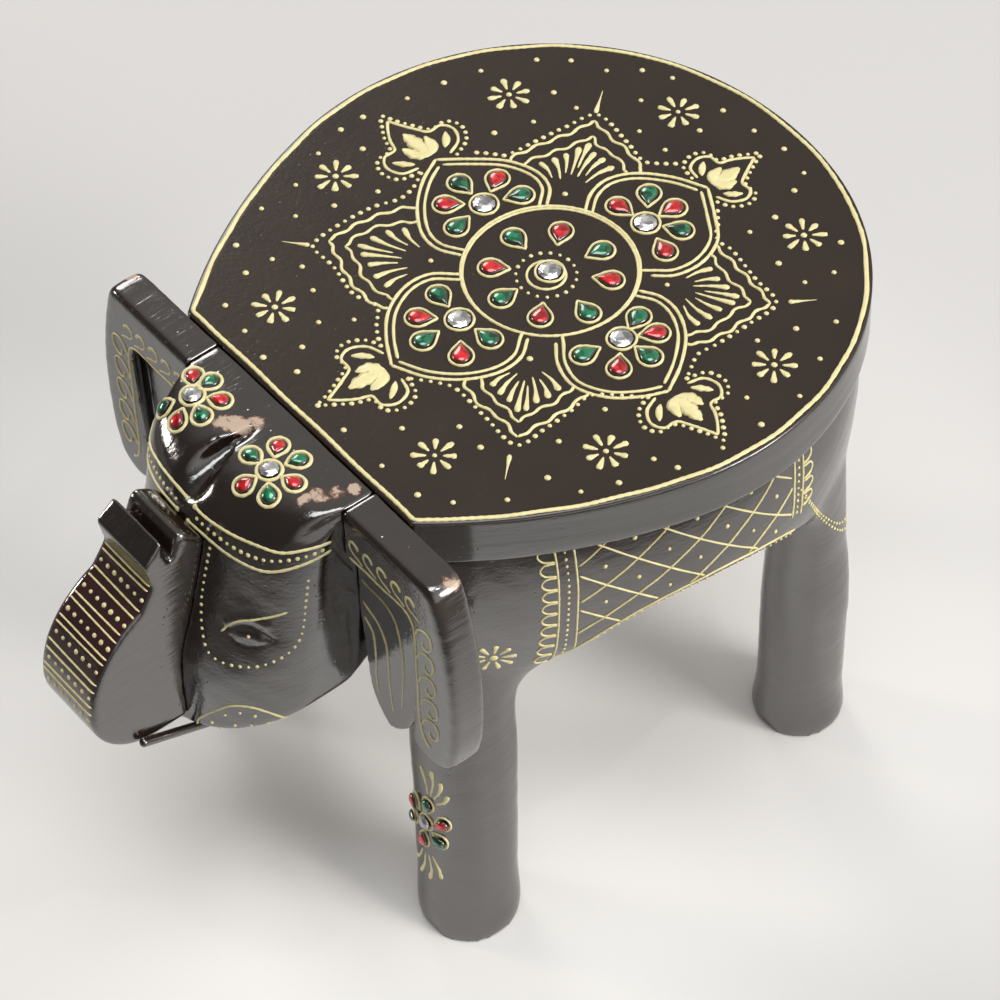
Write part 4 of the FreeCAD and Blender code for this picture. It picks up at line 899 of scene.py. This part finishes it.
# Painting of the head: a beaded band round the brow, a beaded chain round each cheek
# and eye, a brow line, a half disc on the jaw, and a bead round each crown stone.
head_work = ConeWork(skin_of(head))
ring_settings(head_work, settings["head"], 0.95, 1.25)
BAND_LINES = (
    ((1.4, -98.5, 188.5), (5.7, -98.4, 188.2), (11.8, -97.7, 188.3), (18.6, -96.2, 188.5),
     (27.8, -92.9, 189.0), (34.0, -89.2, 188.8), (38.4, -83.4, 189.6), (40.5, -74.9, 189.4)),
    ((0.4, -100.9, 182.6), (5.9, -100.4, 182.6), (12.0, -99.9, 182.0), (19.9, -98.5, 181.0),
     (30.7, -93.9, 180.7), (37.7, -86.0, 183.4), (40.5, -75.2, 185.7)),
    ((-3.3, -97.8, 187.8), (-11.6, -97.6, 188.5), (-20.9, -96.0, 187.6), (-31.3, -92.6, 186.0),
     (-37.5, -86.0, 187.0), (-40.5, -75.0, 188.5)),
    ((-5.6, -100.6, 182.9), (-13.1, -99.8, 182.0), (-22.4, -97.6, 180.4), (-32.0, -93.0, 180.0),
     (-38.0, -86.0, 182.0), (-40.5, -75.2, 184.6)))
BAND_BEADS = (
    ((3.8, -99.6, 185.8), (11.0, -99.0, 185.3), (20.0, -97.2, 184.6), (29.0, -93.8, 184.8),
     (36.0, -87.5, 186.2), (40.0, -78.0, 187.4)),
    ((-7.5, -99.7, 185.3), (-16.1, -98.5, 184.6), (-22.1, -97.0, 183.9), (-31.0, -93.2, 183.0),
     (-37.8, -86.0, 184.5), (-40.5, -76.0, 186.5)))
CHAIN = ((11.4, -101.2, 179.5), (11.2, -103.4, 172.0), (11.8, -107.0, 159.0),
         (14.5, -109.0, 148.0), (18.3, -109.8, 141.2), (25.0, -107.1, 139.6),
         (32.8, -101.0, 141.5), (37.9, -92.8, 146.5), (39.3, -88.1, 153.2),
         (39.2, -85.3, 168.1), (39.1, -83.5, 179.0))
BROW = ((20.4, -105.9, 151.0), (24.3, -103.2, 156.6), (29.2, -99.6, 159.8),
        (33.4, -95.6, 161.9), (36.6, -91.0, 164.0))
CHEEK = ((13.6, -114.6, 103.6), (15.1, -114.2, 108.0), (20.9, -111.7, 115.4),
         (26.4, -108.5, 120.8), (32.4, -103.8, 121.8), (36.9, -98.1, 117.7), (39.4, -94.0, 112.0))
CHEEK_DOTS = ((19.4, -112.4, 108.7), (24.0, -110.0, 115.0), (28.4, -107.1, 118.0),
              (32.2, -104.0, 117.7), (26.6, -108.3, 111.0), (31.0, -105.0, 112.4),
              (34.8, -101.0, 113.7), (22.0, -111.0, 106.5))
for line in BAND_LINES:
    head_work.line(line, 1.15)
    head_work.dots(line[:1], 0.95)
for line in BAND_BEADS:
    head_work.row(line, 2.7, 0.72)
for mirror in ((1, 1, 1), (-1, 1, 1)):
    head_work.row(np.array(CHAIN) * mirror, 2.9, 0.6)
    head_work.line(np.array(BROW) * mirror, 0.85)
    head_work.line(np.array(CHEEK) * mirror, 0.85)
    head_work.dots(np.array(CHEEK_DOTS) * mirror, 0.62)
    head_work.dots(np.array(((28.9, -101.0, 152.9),)) * mirror, 0.6)
head_work.make("head_painting")


# Painting of the trunk: pairs of lines across it with a row of dots between, from the
# curl of the tip down to where it turns under.
trunk_work = ConeWork(skin_of(trunk))
TRUNK_LINES = ((-122.0, 173.6), (-123.1, 171.6), (-126.8, 165.9), (-129.2, 163.9),
               (-135.0, 159.9), (-136.6, 158.3), (-141.0, 153.0), (-142.6, 151.0),
               (-145.9, 144.8), (-147.2, 141.5), (-149.2, 135.2), (-149.8, 132.6))
TRUNK_DOTS = ((-125.0, 168.7), (-132.3, 162.0), (-139.2, 155.8), (-144.4, 148.4),
              (-148.4, 138.6), (-149.8, 128.5))
for number, (y, z) in enumerate(TRUNK_LINES):
    spread = 0.35 + 0.028 * (173.6 - z)
    left, right = -15.8 - spread, 7.4 + spread
    tilt = 0.5 * math.sin(number * 2.1)
    trunk_work.line([(x, y, z + tilt * (x - left) / (right - left))
                     for x in np.linspace(left, right, 6)], 0.7)
for y, z in TRUNK_DOTS:
    trunk_work.row([(x, y, z) for x in np.linspace(-14.6, 8.6, 6)], 3.6, 0.85)
trunk_work.make("trunk_painting")


# Painting of the ears: a row of curled strokes along the rim's top and side, a line
# inside it, and three bent lines on the lobe.
RIM_FACE, LOBE_FACE = -70.5, -66.4
TOP_CURL = ((1.7, 0.6), (1.2, 2.0), (-0.6, 2.7), (-2.3, 1.6), (-2.6, -0.6), (-1.2, -2.5),
            (1.6, -3.6), (3.8, -4.6))
SIDE_CURL = ((-4.3, -1.4), (-2.6, 2.8), (0.4, 5.0), (3.3, 4.4), (4.2, 1.6), (3.4, -1.8),
             (1.2, -3.6), (-0.5, -2.4), (-0.2, -0.6))
TOP_CURLS = ((46.0, 187.3), (53.0, 187.3), (60.0, 187.4), (67.0, 187.4), (74.0, 186.6))
SIDE_CURLS = ((79.4, 174.5), (79.7, 163.5), (80.2, 152.5), (80.6, 141.5), (80.6, 130.8))
RIM_LINE = ((43.0, 181.0), (51.7, 181.2), (60.9, 180.9), (68.5, 181.2), (73.2, 179.5),
            (75.0, 173.5), (75.1, 160.0), (75.3, 147.0), (75.2, 135.0), (76.0, 127.5),
            (77.6, 123.0), (80.2, 121.0))
LOBE_LINES = (((42.5, 166.8), (47.0, 166.5), (53.8, 166.1), (58.6, 163.3), (60.8, 157.9),
               (62.4, 147.2), (61.8, 133.7), (60.2, 119.0)),
              ((42.8, 156.0), (46.1, 154.4), (50.3, 152.0), (53.3, 146.6), (54.2, 140.7),
               (54.5, 122.5), (55.3, 112.0)),
              ((43.0, 148.8), (46.0, 146.3), (47.5, 142.7), (47.8, 132.6), (47.4, 123.4),
               (47.8, 114.0)))
for side, word, ear in ((1, "left", ears[0]), (-1, "right", ears[1])):
    ear_work = ConeWork(skin_of(ear))

    def on_ear(pairs, level):
        pairs = np.asarray(pairs, float)
        return np.c_[side * pairs[:, 0], np.full(len(pairs), level), pairs[:, 1]]

    for place in TOP_CURLS:
        ear_work.line(on_ear(np.array(TOP_CURL) + place, RIM_FACE), 1.5,
                      swell=lambda share: 0.45 + 0.55 * np.clip(1 - share * 1.6, 0, 1))
    for place in SIDE_CURLS:
        ear_work.line(on_ear(np.array(SIDE_CURL) + place, RIM_FACE), 0.72)
    ear_work.line(on_ear(RIM_LINE, RIM_FACE), 0.85)
    for path in LOBE_LINES:
        ear_work.line(on_ear(path, LOBE_FACE), 0.85,
                      swell=lambda share: 1 - 0.45 * np.clip(share * 1.6 - 0.6, 0, 1))
    ear_work.make("ear_painting_" + word)


# Painting of the body: a saddle cloth on each flank, with a beaded and scalloped band
# at its front and rear, a lattice of crossed lines, a border along the belly, a beaded
# swag round the hind leg and a flower on the shoulder.
body_work = ConeWork(skin_of(body))
ARCH_Y, ARCH_Z, ARCH_RADIUS = 36.7, 86.0, 57.0
CLOTH_TOP = 178.5
LATTICE_SLOPE, LATTICE_STEP = 0.85, 20
SCALLOPS = ((10, 3.2, 6.0, ((-18.6, 2.8), (-22.0, 2.4), (-23.4, 0.0), (-22.0, -2.2),
                            (-18.8, -2.6))),
            (4, 5.5, 6.4, ((68.6, 2.6), (71.8, 2.2), (73.0, 0.0), (71.6, -2.2), (68.4, -2.6))))
SWAG = ((67.0, 160.0), (77.3, 140.1), (87.1, 123.5), (95.7, 112.3), (103.5, 107.1))


def flank(pairs, side):
    """Places on the flank from lengthways and upward positions, found from the side."""
    found = []
    for y, z in np.asarray(pairs, float):
        hit = body_work.skin.ray_cast(Vector((side * 130, y, z)), Vector((-side, 0, 0)))[0]
        if hit is not None and abs(hit.x) > 40:
            found.append(tuple(hit))
    return np.array(found)


def flank_line(pairs, side, width=0.8, dotted=0.0):
    """A bead, or a row of dots at a spacing, on the flank."""
    path = flank(spline(np.c_[np.asarray(pairs, float), np.zeros(len(pairs))], 3.0)[:, :2], side)
    if len(path) > 2:
        body_work.row(path, dotted, 0.55) if dotted else body_work.line(path, width)


def belly_height(y, margin):
    """The height of a line that keeps a margin above the belly's arch."""
    reach = ARCH_RADIUS + margin
    return ARCH_Z + math.sqrt(max(reach ** 2 - (y - ARCH_Y) ** 2, 0.0))


for side in (1, -1):
    for y in (-18.4, -13.0):
        flank_line([(y, CLOTH_TOP), (y - 0.3, 160), (y, 140), (y + 0.6, belly_height(y, 6.5))],
                   side)
    flank_line([(-15.7, CLOTH_TOP), (-15.9, 150), (-15.5, belly_height(-15.7, 7))], side,
               dotted=2.9)
    for count, first, step, scallop in SCALLOPS:
        for top in CLOTH_TOP - first - np.arange(count) * step:
            flank_line([(y, top + z) for y, z in scallop], side, 0.75)
    for y in (63.0, 67.4):
        flank_line([(y + 1.6, CLOTH_TOP - 2), (y + 0.6, 166), (y, belly_height(y, 12.0))], side)
    flank_line([(66.6, CLOTH_TOP - 2), (65.4, 162), (65.2, belly_height(65.2, 13))], side,
               dotted=2.9)
    border = [(y, belly_height(y, 5.0)) for y in np.linspace(-17.5, 66.0, 12)]
    flank_line(border, side)
    flank_line([(y, z - 2.2) for y, z in border], side, dotted=2.9)
    for offset in range(-60, 100, LATTICE_STEP):
        for slope in (LATTICE_SLOPE, -LATTICE_SLOPE):
            ends = [(y, 150 + slope * (y - 25 - offset)) for y in np.linspace(-12.5, 62.5, 60)]
            ends = [(y, z) for y, z in ends if belly_height(y, 5.6) < z < CLOTH_TOP - 0.5]
            if len(ends) > 4:
                picks = np.linspace(0, len(ends) - 1, 6).astype(int)
                flank_line([ends[pick] for pick in picks], side, 0.72)
    dots = []
    for row_number in range(-5, 8):
        for column in range(-6, 8):
            y = 25 + (row_number + column) * LATTICE_STEP / 2
            z = 158.5 + (row_number - column) * LATTICE_STEP / 2 * LATTICE_SLOPE
            if -10 < y < 60 and belly_height(y, 8.5) < z < CLOTH_TOP - 2:
                dots.append((y, z))
    body_work.dots(flank(dots, side), 0.8)
    for drop in (0.0, 6.0):
        flank_line([(y + drop * 0.4, z - drop) for y, z in SWAG], side, dotted=3.0)
    middle, outward = (found[0] for found in body_work.lay(flank([(-35.2, 126.5)], side)))
    level = unit(np.cross([outward], (0, 0, 1)))[0]
    for number in range(9):
        turn = math.tau * number / 9 + 0.3
        way = math.cos(turn) * level + math.sin(turn) * np.cross(level, outward)
        body_work.club([middle + way * reach for reach in (2.7, 5.2, 7.6)], 2.6, 0.42)
    body_work.dots([middle], 1.5)

LEG_LEAVES = (
    ((58.5, 62.0), (56.5, 67.0), (53.0, 72.0)), ((60.0, 62.0), (60.5, 68.0), (58.8, 74.0)),
    ((61.5, 61.5), (64.5, 66.5), (65.5, 71.5)), ((63.0, 60.0), (67.5, 63.0), (70.2, 67.0)),
    ((57.5, 34.0), (56.0, 29.0), (52.5, 25.0)), ((59.5, 33.5), (59.5, 27.5), (57.5, 22.0)),
    ((61.5, 34.0), (63.5, 28.0), (63.0, 23.0)), ((63.5, 35.0), (67.0, 31.0), (68.5, 27.0)))
for side in (1, -1):
    for leaf in LEG_LEAVES:
        body_work.club([(side * x, -62.0, z) for x, z in leaf], 2.0, 0.35)
ring_settings(body_work, settings["leg"], 0.6, 0.85)
body_work.make("body_painting")


# Floor and light: a matt sheet of paper with a painted pool of light, palest under the
# stool and darkening away from it, a dim room that glows on one side and faintly at the
# rear, two soft windows, a soft ceiling, a weak fill from the far side and a small bulb.
FLOOR_HALF = 1.6
sheet = np.array(((-1, -1, 0), (1, -1, 0), (1, 1, 0), (-1, 1, 0))) * FLOOR_HALF / MM
floor = new_piece("floor", sheet, [(0, 1, 2, 3)])
floor_painted_light_pool, tree, place = new_material("paper_with_painted_light_pool")
tint = linear("#F2F1EF")
# Painted light: the floor's colour is palest under the stool and darkens away from it, as light
# falloff would.
for middle, start, end, colour in (((0.0, 0.0, 0.0), 0.02, 0.30, "#CAC9C8"),
                                   ((-0.08, 0.15, 0.0), 0.37, 0.60, "#5C5A58")):
    away = add(tree, "VectorMath", {0: place, 1: middle}, operation="DISTANCE")
    part = add(tree, "MapRange", {"Value": away, "From Min": start, "From Max": end},
               interpolation_type="SMOOTHSTEP")
    tint = add(tree, "Mix", {"Factor": part, "A": tint, "B": linear(colour)},
               data_type="RGBA")
shader = add(tree, "BsdfPrincipled", {"Base Color": tint, "Roughness": 0.9})
add(tree, "OutputMaterial", {"Surface": shader})
floor.data.materials.append(floor_painted_light_pool)

world = bpy.data.worlds.new("room")
bpy.context.scene.world = world
world.use_nodes = True
tree = world.node_tree
tree.nodes.clear()
way = add(tree, "TexCoord").outputs["Generated"]
glow = 0.07
for toward, start, end, level in (((0.88, 0.44, 0.18), 0.15, 0.9, 0.75),
                                  ((-0.51, 0.58, 0.63), 0.45, 0.95, 0.28)):
    facing = add(tree, "VectorMath", {0: way, 1: toward}, operation="DOT_PRODUCT")
    part = add(tree, "MapRange", {"Value": facing, "From Min": start, "From Max": end,
                                  "To Max": level}, interpolation_type="SMOOTHSTEP")
    glow = add(tree, "Math", {0: glow, 1: part}, operation="ADD")
background = add(tree, "Background", {"Color": linear("#FFFDFA"), "Strength": glow})
add(tree, "OutputWorld", {"Surface": background})

LAMPS = (("window", (2.2, 1.0, 1.0), 0.05, 1.3, 48.0, "#FFFBF6"),
         ("far_window", (-2.4, 0.7, 1.5), 0.05, 1.3, 26.0, "#FFFCF8"),
         ("ceiling", (0.3, -0.2, 2.6), 0.0, 1.6, 31.0, "#FDFEFF"),
         ("fill", (-1.7, -1.1, 0.60), 0.05, 0.5, 12.0, "#FFF6EC"),
         ("bulb", (0.55, 0.30, 1.5), 0.15, 0.05, 1.0, "#FFFFFF"))
for name, place, aim_height, size, power, colour in LAMPS:
    data = bpy.data.lights.new(name, "AREA")
    data.shape, data.size, data.energy = "DISK", size, power
    data.color = linear(colour)[:3]
    lamp = bpy.data.objects.new(name, data)
    bpy.context.scene.collection.objects.link(lamp)
    lamp.location = place
    aim = Vector((0, 0, aim_height)) - Vector(place)
    lamp.rotation_euler = aim.to_track_quat("-Z", "Y").to_euler()

bpy.context.scene.view_settings.view_transform = "Standard"
